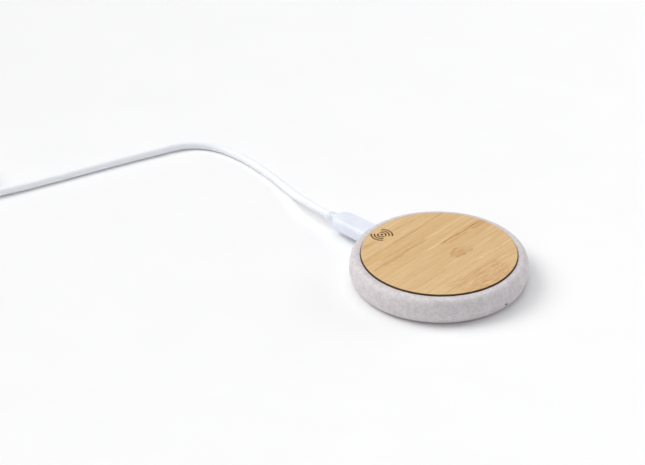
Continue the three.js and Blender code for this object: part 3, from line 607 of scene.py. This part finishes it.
def made(name, bm):
    bmesh.ops.recalc_face_normals(bm, faces=bm.faces)
    mesh = bpy.data.meshes.new(name)
    bm.to_mesh(mesh)
    bm.free()
    obj = bpy.data.objects.new(name, mesh)
    bpy.context.scene.collection.objects.link(obj)
    shade(obj)
    return obj


def finish_piece(obj, body, slot, *replaced, material=None):
    """Dresses a piece in its slot's material, unless another is given, hangs it on its body's empty, and
    hides the parts of the frame that it replaces.
    """
    wear(obj, material or slot)
    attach(obj, body)
    if replaced:
        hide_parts(*replaced)
    return obj


def skin(bm, rows, closed=False):
    """Joins rows of points, each a closed ring, and closes the two ends."""
    loops = [[bm.verts.new(Vector(point) * MM) for point in row] for row in rows]
    pairs = list(zip(loops, loops[1:]))
    if closed:
        pairs.append((loops[-1], loops[0]))
    for low, high in pairs:
        for k in range(len(low)):
            n = (k + 1) % len(low)
            bm.faces.new((low[k], low[n], high[n], high[k]))
    if not closed:
        bm.faces.new(loops[0])
        bm.faces.new(loops[-1])


def ring_of(radius, height, steps, centre=(0, 0)):
    points = []
    for k in range(steps):
        angle = 2 * math.pi * k / steps
        points.append((centre[0] + radius * math.cos(angle), centre[1] + radius * math.sin(angle), height))
    return points


def solid(name, *shapes, closed=False):
    """One object from several closed shapes, each a list of rings."""
    bm = bmesh.new()
    for rows in shapes:
        skin(bm, rows, closed)
    return made(name, bm)


def lathe(name, outline, steps=ROUND, centre=(0, 0)):
    """Turns an outline of (radius, height) about a vertical line."""
    return solid(name, [ring_of(radius, height, steps, centre) for radius, height in outline])


def polar(radius, degrees):
    angle = math.radians(degrees)
    return (radius * math.cos(angle), radius * math.sin(angle))


def quarter(centre, radius, start, steps=4):
    """A quarter circle from its first angle, in degrees, as points of an outline."""
    points = []
    for k in range(steps + 1):
        dx, dy = polar(radius, start + 90 * k / steps)
        points.append((centre[0] + dx, centre[1] + dy))
    return points


def cutter(*shapes):
    return solid("cutter", *shapes)


def post(radius, low, high, centre, steps=SMALL):
    return [ring_of(radius, low, steps, centre), ring_of(radius, high, steps, centre)]


def slab(x, y, low, width, depth, height):
    corners = [(-1, -1), (1, -1), (1, 1), (-1, 1)]
    flat = [(x + a * width / 2, y + b * depth / 2) for a, b in corners]
    return [[(px, py, low) for px, py in flat], [(px, py, low + height) for px, py in flat]]


def rotated(rows, degrees):
    turn = Matrix.Rotation(math.radians(degrees), 3, "Z")
    return [[tuple(turn @ Vector(point)) for point in row] for row in rows]


def slot_ring(width, height, y, middle, steps=10):
    """A ring in X and Z with half-round ends, at one place along Y."""
    radius = height / 2
    reach = width / 2 - radius
    points = []
    for side, start in ((1, -90), (-1, 90)):
        for k in range(steps + 1):
            dx, dz = polar(radius, start + 180 * k / steps)
            points.append((side * reach + dx, y, middle + dz))
    return points


def boolean(obj, other, operation, joined=False):
    modifier = obj.modifiers.new("boolean", "BOOLEAN")
    modifier.operation = operation
    modifier.solver = "EXACT"
    modifier.use_self = joined
    modifier.object = other
    graph = bpy.context.evaluated_depsgraph_get()
    mesh = bpy.data.meshes.new_from_object(obj.evaluated_get(graph))
    obj.modifiers.clear()
    obj.data = mesh
    bpy.data.objects.remove(other)
    shade(obj)


# ---------------------------------------------------------------- casing

SHELL_LOW, SHELL_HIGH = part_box("top_shell")
BODY_RADIUS = SHELL_HIGH.x / MM
LIP = SHELL_HIGH.z / MM
SEAM = SHELL_LOW.z / MM
COVER_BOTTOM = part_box("bottom_cover")[0].z / MM
RIM_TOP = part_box("bottom_cover")[1].z / MM
DISC_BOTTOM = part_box("bamboo_disc")[0].z / MM
FLOOR_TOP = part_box("disc_adhesive")[0].z / MM
COIL_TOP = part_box("charging_coil")[1].z / MM
BOARD_LOW, BOARD_HIGH = (corner.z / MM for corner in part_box("circuit_board"))
SOCKET_LOW, SOCKET_HIGH = (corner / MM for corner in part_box("usb_socket_shell"))
PORT = (SOCKET_LOW.z + SOCKET_HIGH.z) / 2
WIDEST = 7.4
SIDE_RUN = 4.3
SIDE_POWER = 2.6
LIP_WIDTH = 0.75
SEAM_WALL = 2.15  # from the side in to the cavity, at the seam
COIL_GAP = 0.15
RECESS = BODY_RADIUS - SIDE_RUN - LIP_WIDTH
CEILING = COIL_TOP + COIL_GAP
RIM_CLEARANCE = 0.2
RIM_WALL = 1.2
SCREW_CIRCLE = 34.5
SCREW_ANGLES = (45, 135, 225, 315)
BOARD_CIRCLE = 27.6
BOARD_ANGLES = (55, 180, 305)
FOOT_CIRCLE = 30
FOOT_ANGLES = (0, 90, 180, 270)
FOOT_RADIUS = 4.5
POCKET_GAP = 0.1
POCKET_DEPTH = 0.8  # of the pockets for the feet and the screw heads
COVER_SCREW = (1.9, 0.75, 0.95)  # radius and height of the head, and radius of the thread
BOARD_SCREW = (1.6, 1.1, 0.75)
COVER_SCREW_TIP = CEILING - 1.7
BOARD_SCREW_TIP = CEILING + 0.2
COVER_HOLE_TOP = CEILING - 1.4
BOARD_HOLE_TOP = CEILING + 0.4
HEAD_GAP = 0.2
SHANK_GAP = 0.1
THREAD_GAP = 0.05
BOSS_RADIUS = 2.75  # for a cover screw
POST_RADIUS = 2.2  # for a board screw
BOSS_GAP = 0.05
ROOT = CEILING + 0.1  # bosses, posts and ribs run a little way into the ceiling
RIB_WIDTH = 1.2
RIB_LOW = RIM_TOP + 1
RIB_OVERLAP = 0.4  # how far a rib runs into its boss and into the wall
SOCKET_GAP = 0.2
MOUTH_DEPTH = 0.75
MOUTH_FLARE = 1.1
MOUTH_PAST = 0.2  # how far outside the casing the mouth has its full flare
LIGHT_X = 0.1
LIGHT_HEIGHT = SEAM + 2.1
LIGHT_HOLE = 0.65
LIGHT_NOTCH = (3.2, 3.6, 2)  # in the cover's rim
HEAD_EDGE = 0.35
THREAD_DEPTH = 0.14
THREAD_PITCH = 0.5
CROSS_ARM = 0.35  # how wide the arms of a screw's cross are


def side_radius(height):
    reach = WIDEST - COVER_BOTTOM if height < WIDEST else LIP - WIDEST
    share = min(1, abs(height - WIDEST) / reach)
    return BODY_RADIUS - SIDE_RUN + SIDE_RUN * (1 - share**SIDE_POWER) ** (1 / SIDE_POWER)


CAVITY = side_radius(SEAM) - SEAM_WALL


def side_outline(low, high, steps):
    def angle_at(height):
        reach = WIDEST - COVER_BOTTOM if height < WIDEST else LIP - WIDEST
        share = (height - WIDEST) / reach
        return math.copysign(math.asin(min(1, abs(share)) ** (SIDE_POWER / 2)), share)

    first, last = angle_at(low), angle_at(high)
    points = []
    for k in range(steps + 1):
        angle = first + (last - first) * k / steps
        reach = WIDEST - COVER_BOTTOM if angle < 0 else LIP - WIDEST
        height = WIDEST + reach * math.copysign(abs(math.sin(angle)) ** (2 / SIDE_POWER), angle)
        points.append((side_radius(height), height))
    return points


def make_top_shell():
    bevel = 0.12
    edge = 0.22
    outline = [(CAVITY, CEILING), (CAVITY, SEAM), (side_radius(SEAM) - bevel, SEAM)]
    outline += side_outline(SEAM + bevel, LIP, 40)
    outline += quarter((RECESS + edge, LIP - edge), edge, 90)
    outline.append((RECESS, FLOOR_TOP))
    shell = lathe("casing_top", outline)
    rib_start = SCREW_CIRCLE + BOSS_RADIUS - RIB_OVERLAP
    rib_end = CAVITY + RIB_OVERLAP
    rib_middle = (rib_start + rib_end) / 2
    bosses = []
    for degrees in SCREW_ANGLES:
        bosses.append(post(BOSS_RADIUS, SEAM + BOSS_GAP, ROOT, polar(SCREW_CIRCLE, degrees)))
        rib = slab(rib_middle, 0, RIB_LOW, rib_end - rib_start, RIB_WIDTH, ROOT - RIB_LOW)
        bosses.append(rotated(rib, degrees))
    for degrees in BOARD_ANGLES:
        bosses.append(post(POST_RADIUS, BOARD_HIGH, ROOT, polar(BOARD_CIRCLE, degrees)))
    boolean(shell, cutter(*bosses), "UNION", joined=True)
    holes = []
    for degrees in SCREW_ANGLES:
        centre = polar(SCREW_CIRCLE, degrees)
        holes.append(post(COVER_SCREW[2] + THREAD_GAP, SEAM - CUT, COVER_HOLE_TOP, centre))
    for degrees in BOARD_ANGLES:
        centre = polar(BOARD_CIRCLE, degrees)
        holes.append(post(BOARD_SCREW[2] + THREAD_GAP, BOARD_HIGH - CUT, BOARD_HOLE_TOP, centre))
    boolean(shell, cutter(*holes), "DIFFERENCE")
    width = SOCKET_HIGH.x * 2 + 2 * SOCKET_GAP
    height = SOCKET_HIGH.z - SOCKET_LOW.z + 2 * SOCKET_GAP
    mouth = [
        slot_ring(width, height, CAVITY - CUT, PORT),
        slot_ring(width, height, BODY_RADIUS - MOUTH_DEPTH, PORT),
        slot_ring(width + MOUTH_FLARE, height + MOUTH_FLARE, BODY_RADIUS + MOUTH_PAST, PORT),
        slot_ring(width + MOUTH_FLARE, height + MOUTH_FLARE, BODY_RADIUS + CUT, PORT),
    ]
    hole = []
    for y in (-BODY_RADIUS - CUT, CUT - CAVITY):
        ring = ring_of(LIGHT_HOLE, 0, SMALL)
        hole.append([(LIGHT_X + a, y, LIGHT_HEIGHT + b) for a, b, _ in ring])
    boolean(shell, cutter(mouth), "DIFFERENCE")
    boolean(shell, cutter(hole), "DIFFERENCE")
    finish_piece(shell, "pad", "straw_plastic", "top_shell")


def make_cover():
    bevel = 0.12
    edge = 0.15
    rim = CAVITY - RIM_CLEARANCE
    outline = side_outline(COVER_BOTTOM, SEAM - bevel, 14)
    outline += [
        (side_radius(SEAM) - bevel, SEAM),
        (rim, SEAM),
        (rim, RIM_TOP - edge),
        (rim - edge, RIM_TOP),
        (rim - RIM_WALL + edge, RIM_TOP),
        (rim - RIM_WALL, RIM_TOP - edge),
        (rim - RIM_WALL, SEAM),
    ]
    cover = lathe("casing_cover", outline)
    outside = COVER_BOTTOM - CUT
    pocket_top = COVER_BOTTOM + POCKET_DEPTH
    head, _, shank = COVER_SCREW
    screws = [polar(SCREW_CIRCLE, degrees) for degrees in SCREW_ANGLES]
    cuts = []
    for degrees in FOOT_ANGLES:
        cuts.append(post(FOOT_RADIUS + POCKET_GAP, outside, pocket_top, polar(FOOT_CIRCLE, degrees), 64))
    cuts += [post(head + HEAD_GAP, outside, pocket_top, place) for place in screws]
    boolean(cover, cutter(*cuts), "DIFFERENCE")
    holes = [post(shank + SHANK_GAP, outside, SEAM + CUT, place) for place in screws]
    holes.append(slab(LIGHT_X, -rim, SEAM + 0.001, *LIGHT_NOTCH))
    boolean(cover, cutter(*holes), "DIFFERENCE")
    finish_piece(cover, "pad", "straw_plastic", "bottom_cover")


def make_feet():
    edge = 0.35
    for number, degrees in enumerate(FOOT_ANGLES, 1):
        outline = quarter((FOOT_RADIUS - edge, edge), edge, -90)
        outline.append((FOOT_RADIUS, COVER_BOTTOM + POCKET_DEPTH))
        foot = lathe(f"soft_foot_{number}", outline, 64, centre=polar(FOOT_CIRCLE, degrees))
        finish_piece(foot, "pad", "silicone", f"foot_{number}")


def make_screw(name, node, centre, low, sizes, tip):
    """A pan-head screw pointing up, with a cross in its head and a thread on its shank."""
    head, head_height, shank = sizes
    top = low + head_height
    core = shank - THREAD_DEPTH
    outline = quarter((head - HEAD_EDGE, low + HEAD_EDGE), HEAD_EDGE, -90)
    outline += [(head, top), (core + 0.02, top)]
    height = top + THREAD_PITCH / 2
    while height + THREAD_PITCH < tip - shank:
        crest = height + THREAD_PITCH * 0.45
        outline += [(core, height), (shank, crest), (core, height + THREAD_PITCH * 0.9)]
        height += THREAD_PITCH
    outline += [(core, tip - shank), (0.1, tip)]
    screw = lathe(name, outline, SMALL, centre=centre)
    depth = head_height / 2
    span = head * 1.1
    # The second arm starts lower and is a little less deep, so that no two faces coincide.
    arms = [
        slab(*centre, low - CUT, span, CROSS_ARM, CUT + depth),
        slab(*centre, low - 1.1 * CUT, CROSS_ARM, span, 1.1 * CUT + depth * 0.98),
    ]
    boolean(screw, cutter(*arms), "DIFFERENCE", joined=True)
    finish_piece(screw, "pad", "steel", node)


def make_screws():
    low = COVER_BOTTOM + 0.05
    for number, degrees in enumerate(SCREW_ANGLES, 1):
        names = (f"case_screw_{number}", f"cover_screw_{number}")
        make_screw(*names, polar(SCREW_CIRCLE, degrees), low, COVER_SCREW, COVER_SCREW_TIP)
    low = BOARD_LOW - BOARD_SCREW[1]
    for number, degrees in enumerate(BOARD_ANGLES, 1):
        names = (f"pcb_screw_{number}", f"board_screw_{number}")
        make_screw(*names, polar(BOARD_CIRCLE, degrees), low, BOARD_SCREW, BOARD_SCREW_TIP)


make_top_shell()
make_cover()
make_feet()
make_screws()


# ---------------------------------------------------------------- bamboo face

MARK_CENTRE = (-6.6, 30.7)
MARK_STROKE = 0.82
MARK_DEPTH = 0.2
MARK_DOT = 0.75
MARK_ARCS = ((1.95, 22), (3.5, 4), (5.05, 0))  # radius, and degrees added to each end
MARK_SIDES = ((-56, 42), (128, 226))  # the first and last degrees of the arcs on each side


def arc_shape(radius, first, last):
    """A curved stroke with round ends, as a closed shape that cuts into the bamboo's top."""
    steps = max(8, round(abs(last - first) / 5))
    cap_steps = 6
    half = MARK_STROKE / 2
    outline = []
    for side, start, end in ((1, first, last), (-1, last, first)):
        for k in range(steps + 1):
            outline.append(polar(radius + side * half, start + (end - start) * k / steps))
        x, y = polar(radius, end)
        turn = end if side > 0 else end + 180
        for k in range(1, cap_steps):
            dx, dy = polar(half, turn + 180 * k / cap_steps)
            outline.append((x + dx, y + dy))
    rows = []
    for height in (FACE_TOP - MARK_DEPTH, FACE_TOP + CUT):
        rows.append([(MARK_CENTRE[0] + x, MARK_CENTRE[1] + y, height) for x, y in outline])
    return rows


def make_face():
    edge = 0.15
    outline = [(FACE_RADIUS, DISC_BOTTOM)]
    outline += quarter((FACE_RADIUS - edge, FACE_TOP - edge), edge, 0, 3)
    face = lathe("bamboo_face", outline, 256)
    strokes = []
    for first, last in MARK_SIDES:
        strokes += [arc_shape(radius, first - more, last + more) for radius, more in MARK_ARCS]
    strokes.append(post(MARK_DOT, FACE_TOP - MARK_DEPTH, FACE_TOP + CUT, MARK_CENTRE, 24))
    boolean(face, cutter(*strokes), "DIFFERENCE")
    finish_piece(face, "pad", "bamboo", "bamboo_disc")


make_face()


# ---------------------------------------------------------------- coil winding

COIL_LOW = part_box("charging_coil")[0].z / MM
WINDING_INNER = 10.5
TURN_SPACING = 1.02  # about how far apart the turns lie, in wire diameters
WIRE_FILL = 0.98  # how much of its room the wire fills, so that turns don't touch


def make_winding():
    """The flat coil: a round litz wire wound in a spiral."""
    inner, outer = WINDING_INNER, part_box("charging_coil")[1].x / MM
    wire = (COIL_TOP - COIL_LOW) / 2
    turns = int((outer - inner) / (2 * wire * TURN_SPACING))
    steps = 72
    sides = 8
    rows = []
    middle = (COIL_TOP + COIL_LOW) / 2
    for k in range(turns * steps + 1):
        turn = k / steps
        radius = inner + wire + turn * (outer - inner - 2 * wire) / turns
        angle = math.pi - 2 * math.pi * (turns - turn)
        row = []
        for j in range(sides):
            dr, dz = polar(wire * WIRE_FILL, 360 * j / sides)
            row.append(((radius + dr) * math.cos(angle), (radius + dr) * math.sin(angle), middle + dz))
        rows.append(row)
    coil = solid("coil_winding", rows)
    finish_piece(coil, "pad", "copper_litz", "charging_coil")


make_winding()


# ---------------------------------------------------------------- plugs and socket

GRIP_LOW, GRIP_HIGH = (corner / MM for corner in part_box("plug_grip"))
PLUG_LOW, PLUG_HIGH = (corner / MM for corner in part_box("plug_shell"))
SHEET = 0.3  # the near plug's and the socket's metal
NECK_LENGTH = 5.7
NECK_GAP = 0.15
NECK_THICK = 2 * CORD_RADIUS + 1.6
NECK_THIN = 2 * CORD_RADIUS + 0.4
GROOVE_PLACES = (0.3, 0.5, 0.7)  # shares of the neck's length
GROOVE_HALF = 0.06
GROOVE_DEPTH = 0.55
GRIP_CORNER = 0.36  # share of the grip's height
GRIP_EDGE = 0.6
LEAST = 0.01  # how far a corner's radius stays under half its side
# Shares along the grip, then of its width, height and corner radius.
GRIP_TAPER = [
    (0.0, 1.0, 1.0, 1.0),
    (0.5, 0.98, 0.99, 1.0),
    (0.8, 0.95, 0.98, 1.0),
    (0.93, 0.85, 0.93, 0.97),
    (1.0, 0.64, 0.78, 0.9),
]


def rounded_ring(width, height, radius, y, middle, steps=8):
    points = []
    radius = min(radius, width / 2 - LEAST, height / 2 - LEAST)
    for sx, sz, start in ((1, 1, 0), (-1, 1, 90), (-1, -1, 180), (1, -1, 270)):
        for k in range(steps + 1):
            dx, dz = polar(radius, start + 90 * k / steps)
            points.append((sx * (width / 2 - radius) + dx, y, middle + sz * (height / 2 - radius) + dz))
    return points


def taper_at(along):
    """Width, height and corner at a place along the grip, eased through the table."""
    rows = GRIP_TAPER
    for k in range(len(rows) - 1):
        if along <= rows[k + 1][0]:
            break
    before = rows[max(k - 1, 0)]
    low, high = rows[k], rows[k + 1]
    after = rows[min(k + 2, len(rows) - 1)]
    span = high[0] - low[0]
    t = (along - low[0]) / span
    found = []
    for c in (1, 2, 3):
        slope = (high[c] - low[c]) / span
        first = (high[c] - before[c]) / (high[0] - before[0]) if before is not low else 0.0
        last = (after[c] - low[c]) / (after[0] - low[0]) if after is not high else slope * 1.5
        a = 2 * t**3 - 3 * t**2 + 1
        b = t**3 - 2 * t**2 + t
        found.append(a * low[c] + b * span * first + (1 - a) * high[c] + (t**3 - t**2) * span * last)
    return found


def grip_rows(front, width, height, length, middle):
    corner = height * GRIP_CORNER
    rows = []
    for k in range(5):
        angle = math.radians(90 * k / 5)
        inset = GRIP_EDGE * (1 - math.sin(angle))
        y = front + GRIP_EDGE * (1 - math.cos(angle))
        size = (width - 2 * inset, height - 2 * inset)
        rows.append(rounded_ring(*size, corner - inset * 0.6, y, middle))
    steps = 32
    for k in range(1, steps + 1):
        along = k / steps
        if along * length <= GRIP_EDGE:
            continue
        wide, high, round_ = taper_at(along)
        size = (width * wide, height * high)
        rows.append(rounded_ring(*size, corner * round_, front + along * length, middle))
    return rows


def neck_rows(back, length, middle):
    """The strain relief: a tapering neck with ring grooves."""
    rows = []
    steps = 40
    for k in range(steps + 1):
        t = k / steps
        across = NECK_THICK + (NECK_THIN - NECK_THICK) * t
        groove = 0.0
        for place in GROOVE_PLACES:
            groove = max(groove, eased(1 - abs(t - place) / GROOVE_HALF))
        across -= GROOVE_DEPTH * groove
        y = back + NECK_GAP + (length - NECK_GAP) * t
        rows.append(rounded_ring(across, across, across * 0.499, y, middle))
    return rows


def make_near_grip():
    width = GRIP_HIGH.x - GRIP_LOW.x
    height = GRIP_HIGH.z - GRIP_LOW.z
    front = GRIP_LOW.y
    back = GRIP_HIGH.y - NECK_LENGTH
    rows = grip_rows(front, width, height, back - front, PORT)
    rows += neck_rows(back, NECK_LENGTH, PORT)
    grip = solid("plug_body", rows)
    finish_piece(grip, "cable", "plug_white", "plug_grip")


def sleeve(name, ring, outer, wall, front, back, middle):
    """A thin metal tube along Y, its front edge rounded, from a function that gives its rings."""
    width, height = outer
    inner = (width - 2 * wall, height - 2 * wall)
    bevel = wall * 0.4
    rows = [
        ring(inner[0], inner[1], back, middle),
        ring(inner[0], inner[1], front + bevel, middle),
        ring(inner[0] + bevel, inner[1] + bevel, front, middle),
        ring(width - bevel, height - bevel, front, middle),
        ring(width, height, front + bevel, middle),
        ring(width, height, back, middle),
    ]
    return solid(name, rows, closed=True)


def make_near_plug():
    size = (PLUG_HIGH.x - PLUG_LOW.x, PLUG_HIGH.z - PLUG_LOW.z)
    shell = sleeve("plug_metal", slot_ring, size, SHEET, PLUG_LOW.y, PLUG_HIGH.y, PORT)
    finish_piece(shell, "cable", "steel", "plug_shell")
    socket_size = (SOCKET_HIGH.x - SOCKET_LOW.x, SOCKET_HIGH.z - SOCKET_LOW.z)
    back, mouth = SOCKET_LOW.y, SOCKET_HIGH.y
    socket = sleeve("socket_metal", slot_ring, socket_size, SHEET, mouth, back, PORT)
    finish_piece(socket, "pad", "steel", "usb_socket_shell")


def make_contacts():
    """Gold contacts on both faces of the socket's tongue."""
    count = 12
    pitch = 0.5
    width, length, thickness = 0.27, 3.0, 0.02
    face = 0.35  # from the tongue's middle
    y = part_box("usb_socket_tongue")[1].y / MM - 2.2
    shapes = []
    for k in range(count):
        x = (k - (count - 1) / 2) * pitch
        for low in (PORT - face - thickness, PORT + face):
            shapes.append(slab(x, y, low, width, length, thickness))
    contacts = solid("socket_contacts", *shapes)
    finish_piece(contacts, "pad", "steel", material="gold")


make_near_grip()
make_near_plug()
make_contacts()


# ---------------------------------------------------------------- far plug

FAR_PLACE = Vector((-120.6, 276.5, 0)) * MM
FAR_TURN = math.radians(115)
FAR_HEIGHT = 3.9
FAR_GRIP = (15.4, 7.6, 20)
FAR_NECK = 5.8
FAR_SHELL = (12, 4.5)
FAR_SHEET = 0.35
FAR_CORNER = 0.55
FAR_REACH = 12
FAR_WINDOW = (2.4, 2.2, 1.0)  # in the top of the far plug's metal, one on each side
WINDOW_ASIDE = 2.9
WINDOW_ALONG = 6.24
TONGUE_GAP = 0.1
TONGUE_THICK = 1.9
TONGUE_BEVEL = 0.18
STRIPS = ((-3.5, 8.6), (-1.0, 7.6), (1.0, 7.6), (3.5, 8.6))  # place across, and length
STRIP_SIZE = (1.0, 0.04)  # width and thickness
FAR_FRONT = -FAR_NECK - FAR_GRIP[2]


def lay_far(obj):
    """Puts a piece drawn along -Y from the neck's end where the far plug lies."""
    obj.data.transform(Matrix.Translation(FAR_PLACE) @ Matrix.Rotation(FAR_TURN, 4, "Z"))
    return obj


def far_ring(width, height, y, middle):
    return rounded_ring(width, height, FAR_CORNER, y, middle, 4)


def make_far_grip():
    width, height, length = FAR_GRIP
    rows = grip_rows(FAR_FRONT, width, height, length, FAR_HEIGHT)
    rows += neck_rows(-FAR_NECK, FAR_NECK, FAR_HEIGHT)
    grip = lay_far(solid("usb_plug_body", rows))
    return finish_piece(grip, "cable", "plug_white", "usb_a_grip")


def make_far_shell():
    end = FAR_FRONT - FAR_REACH
    shell = sleeve("usb_plug_metal", far_ring, FAR_SHELL, FAR_SHEET, end, FAR_FRONT - 0.05, FAR_HEIGHT)
    low = FAR_HEIGHT + FAR_SHELL[1] / 2 - FAR_SHEET - TONGUE_GAP
    windows = []
    for side in (-1, 1):
        windows.append(slab(side * WINDOW_ASIDE, FAR_FRONT - WINDOW_ALONG, low, *FAR_WINDOW))
    boolean(shell, cutter(*windows), "DIFFERENCE")
    lay_far(shell)
    return finish_piece(shell, "cable", "steel", "usb_a_shell")


def make_far_tongue():
    """The block inside the far plug, and the gold strips on it."""
    low = FAR_HEIGHT - FAR_SHELL[1] / 2 + FAR_SHEET + TONGUE_GAP
    width = FAR_SHELL[0] - 2 * FAR_SHEET - 2 * TONGUE_GAP
    front, back = FAR_FRONT - FAR_REACH + 0.4, FAR_FRONT - 0.1
    bm = bmesh.new()
    skin(bm, slab(0, (front + back) / 2, low, width, back - front, TONGUE_THICK))
    bevel = TONGUE_BEVEL * MM
    bmesh.ops.bevel(bm, geom=bm.edges[:], offset=bevel, segments=2, profile=0.5, affect="EDGES")
    tongue = lay_far(made("usb_plug_tongue", bm))
    finish_piece(tongue, "cable", "plug_white", "usb_a_tongue", material="tongue_white")

    wide, thick = STRIP_SIZE
    start = front + 0.8
    strips = []
    for x, reach in STRIPS:
        strips.append(slab(x, start + reach / 2, low + TONGUE_THICK, wide, reach, thick))
    contacts = lay_far(solid("usb_plug_contacts", *strips))
    finish_piece(contacts, "cable", "steel", material="gold")
    return tongue, contacts


far_pieces = [make_far_grip(), make_far_shell(), *make_far_tongue()]


# ---------------------------------------------------------------- tie round the wound cord

TIE_ANGLE = 20
TIE_WIDTH = 8
TIE_THICK = 0.55
TIE_NEAR, TIE_FAR = 15.6, 27.85  # the bundle inside the tie, from the coil's middle outwards
TIE_LOW, TIE_HIGH = 0.66, 8.55
TIE_CORNER = 1.6
TIE_EDGE = 0.2
TAB_START = 17.2
TAB_LENGTH = 8.6
TAB_ROUND = 2.4  # how long its round end is
TAB_INSET = 0.25
TAB_GAP = 0.03
TAB_LIFT = 0.25  # how far its end stands off
LIFT_LENGTH = 3


def tie_path(offset):
    """Points along a rounded rectangle round the bundle, at some offset out from it."""
    corner = TIE_CORNER + offset
    half_w, half_h = (TIE_FAR - TIE_NEAR) / 2 + offset, (TIE_HIGH - TIE_LOW) / 2 + offset
    centre = ((TIE_NEAR + TIE_FAR) / 2, (TIE_LOW + TIE_HIGH) / 2)
    points = []
    for sx, sz, first in ((1, 1, 0), (-1, 1, 90), (-1, -1, 180), (1, -1, 270)):
        middle = (centre[0] + sx * (half_w - corner), centre[1] + sz * (half_h - corner))
        points += quarter(middle, corner, first, 6)
    return points


def strap_rows():
    """The strap's section, with its edges bevelled, carried round the bundle."""
    half = TIE_WIDTH / 2
    thin = TIE_THICK / 2
    section = []
    for side, up in ((-1, -1), (1, -1), (1, 1), (-1, 1)):
        corner = [(side * half, up * (thin - TIE_EDGE)), (side * (half - TIE_EDGE), up * thin)]
        section += corner if side == up else corner[::-1]
    rows = []
    for inner, middle in zip(tie_path(0.0), tie_path(thin)):
        out = Vector((middle[0] - inner[0], middle[1] - inner[1])).normalized()
        rows.append([(middle[0] + out.x * up, across, middle[1] + out.y * up) for across, up in section])
    return rows


def tab_rows():
    """The loose end, which narrows to a round end and stands off a little."""
    steps = 12
    rows = []
    for k in range(steps + 1):
        along = TAB_LENGTH * k / steps
        curve = max(0, (TAB_ROUND - along) / TAB_ROUND)
        half = TIE_WIDTH / 2 * math.sqrt(max(0.02, 1 - curve**2)) - TAB_INSET
        low = TIE_HIGH + TIE_THICK + TAB_GAP + TAB_LIFT * eased((LIFT_LENGTH - along) / LIFT_LENGTH)
        x = TAB_START + along
        high = low + TIE_THICK
        rows.append([(x, -half, low), (x, half, low), (x, half, high), (x, -half, high)])
    return rows


def make_tie():
    bm = bmesh.new()
    skin(bm, strap_rows(), closed=True)
    skin(bm, tab_rows())
    tie = made("cable_tie", bm)
    place = Vector((*WOUND_CENTRE, 0)) * MM
    tie.data.transform(Matrix.Translation(place) @ Matrix.Rotation(math.radians(TIE_ANGLE), 4, "Z"))
    return finish_piece(tie, "cable", "tie_white", "cord_tie")


tie = make_tie()


# ---------------------------------------------------------------- pieces kept from the frame

KEPT = {
    "adhesive": ("disc_adhesive", "ferrite_tape"),
    "ferrite": ("ferrite_sheet", "input_inductor"),
    "chip_black": ("temperature_sensor", "control_chip", "bridge_chip"),
    "copper_litz": ("coil_lead_1", "coil_lead_2"),
    "board_green": ("circuit_board",),
    "light_guide": ("light_guide",),
    "capacitor_tan": ("input_capacitor", *(f"resonant_capacitor_{k}" for k in range(1, 5))),
    "resistor_black": ("sense_resistor",),
    "led_white": ("status_led",),
    "connector_black": ("usb_socket_tongue", "plug_insert"),
}
for material, names in KEPT.items():
    for name in names:
        wear(nodes[name], material)


# ---------------------------------------------------------------- floor and light


def make_floor():
    bm = bmesh.new()
    half = 30  # metres
    corners = [bm.verts.new((x * half, y * half, 0)) for x, y in ((-1, -1), (1, -1), (1, 1), (-1, 1))]
    bm.faces.new(corners)
    floor = made("floor", bm)
    p = Paint("floor", Roughness=0.9, IOR=1.2)
    p.colour(p.mix(srgb(246, 246, 247), srgb(245, 245, 246), p.noise(40, 2.0).ramp(0.3, 0.7)))
    floor.data.materials.append(p.material)


def make_light(data, place, strength, tint):
    data.energy = strength
    data.color = tint
    lamp = bpy.data.objects.new(data.name, data)
    bpy.context.scene.collection.objects.link(lamp)
    lamp.location = place
    lamp.rotation_euler = (-Vector(place)).to_track_quat("-Z", "Y").to_euler()


def make_panel(name, place, size, power, tint):
    data = bpy.data.lights.new(name, "AREA")
    data.shape = "DISK"
    data.size = size
    make_light(data, place, power, tint)


def make_sky_light(name, place, spread, strength, tint):
    """A soft light from far away, so that it falls evenly on the whole floor."""
    data = bpy.data.lights.new(name, "SUN")
    data.angle = math.radians(spread)
    make_light(data, place, strength, tint)


def make_world():
    """Dim above and pale near the horizon."""
    world = bpy.data.worlds.new("studio")
    bpy.context.scene.world = world
    world.use_nodes = True
    tree = world.node_tree
    place = tree.nodes.new("ShaderNodeTexCoord")
    split = tree.nodes.new("ShaderNodeSeparateXYZ")
    tree.links.new(place.outputs["Generated"], split.inputs[0])
    height = Value(tree, split.outputs[2])
    strength = height.ramp(0.06, 0.24, first=0.78, last=0.24)
    background = tree.nodes["Background"]
    background.inputs["Color"].default_value = (0.97, 0.98, 1.0, 1.0)
    feed(tree, background.inputs["Strength"], strength)


make_floor()
make_world()
UP = Vector((0, 0, 1))
WHITE = (1.0, 1.0, 1.0)
WARM = (1.0, 0.995, 0.98)
ABOVE = 0.35 * FORWARD + 1.45 * UP
LEFT = 0.25 * FORWARD - 0.93 * RIGHT + 1.02 * UP
make_sky_light("top", ABOVE, spread=44, strength=0.8, tint=WHITE)
make_sky_light("left", LEFT, spread=40, strength=1.8, tint=WARM)
make_panel("right", 0.5 * FORWARD + 1.2 * RIGHT + 0.5 * UP, size=0.8, power=4.2, tint=WHITE)
make_panel("front", -1.2 * FORWARD - 0.3 * RIGHT + 1.0 * UP, size=1.3, power=4.0, tint=WHITE)
bpy.context.scene.view_settings.view_transform = "Standard"
bpy.context.scene.view_settings.look = "None"
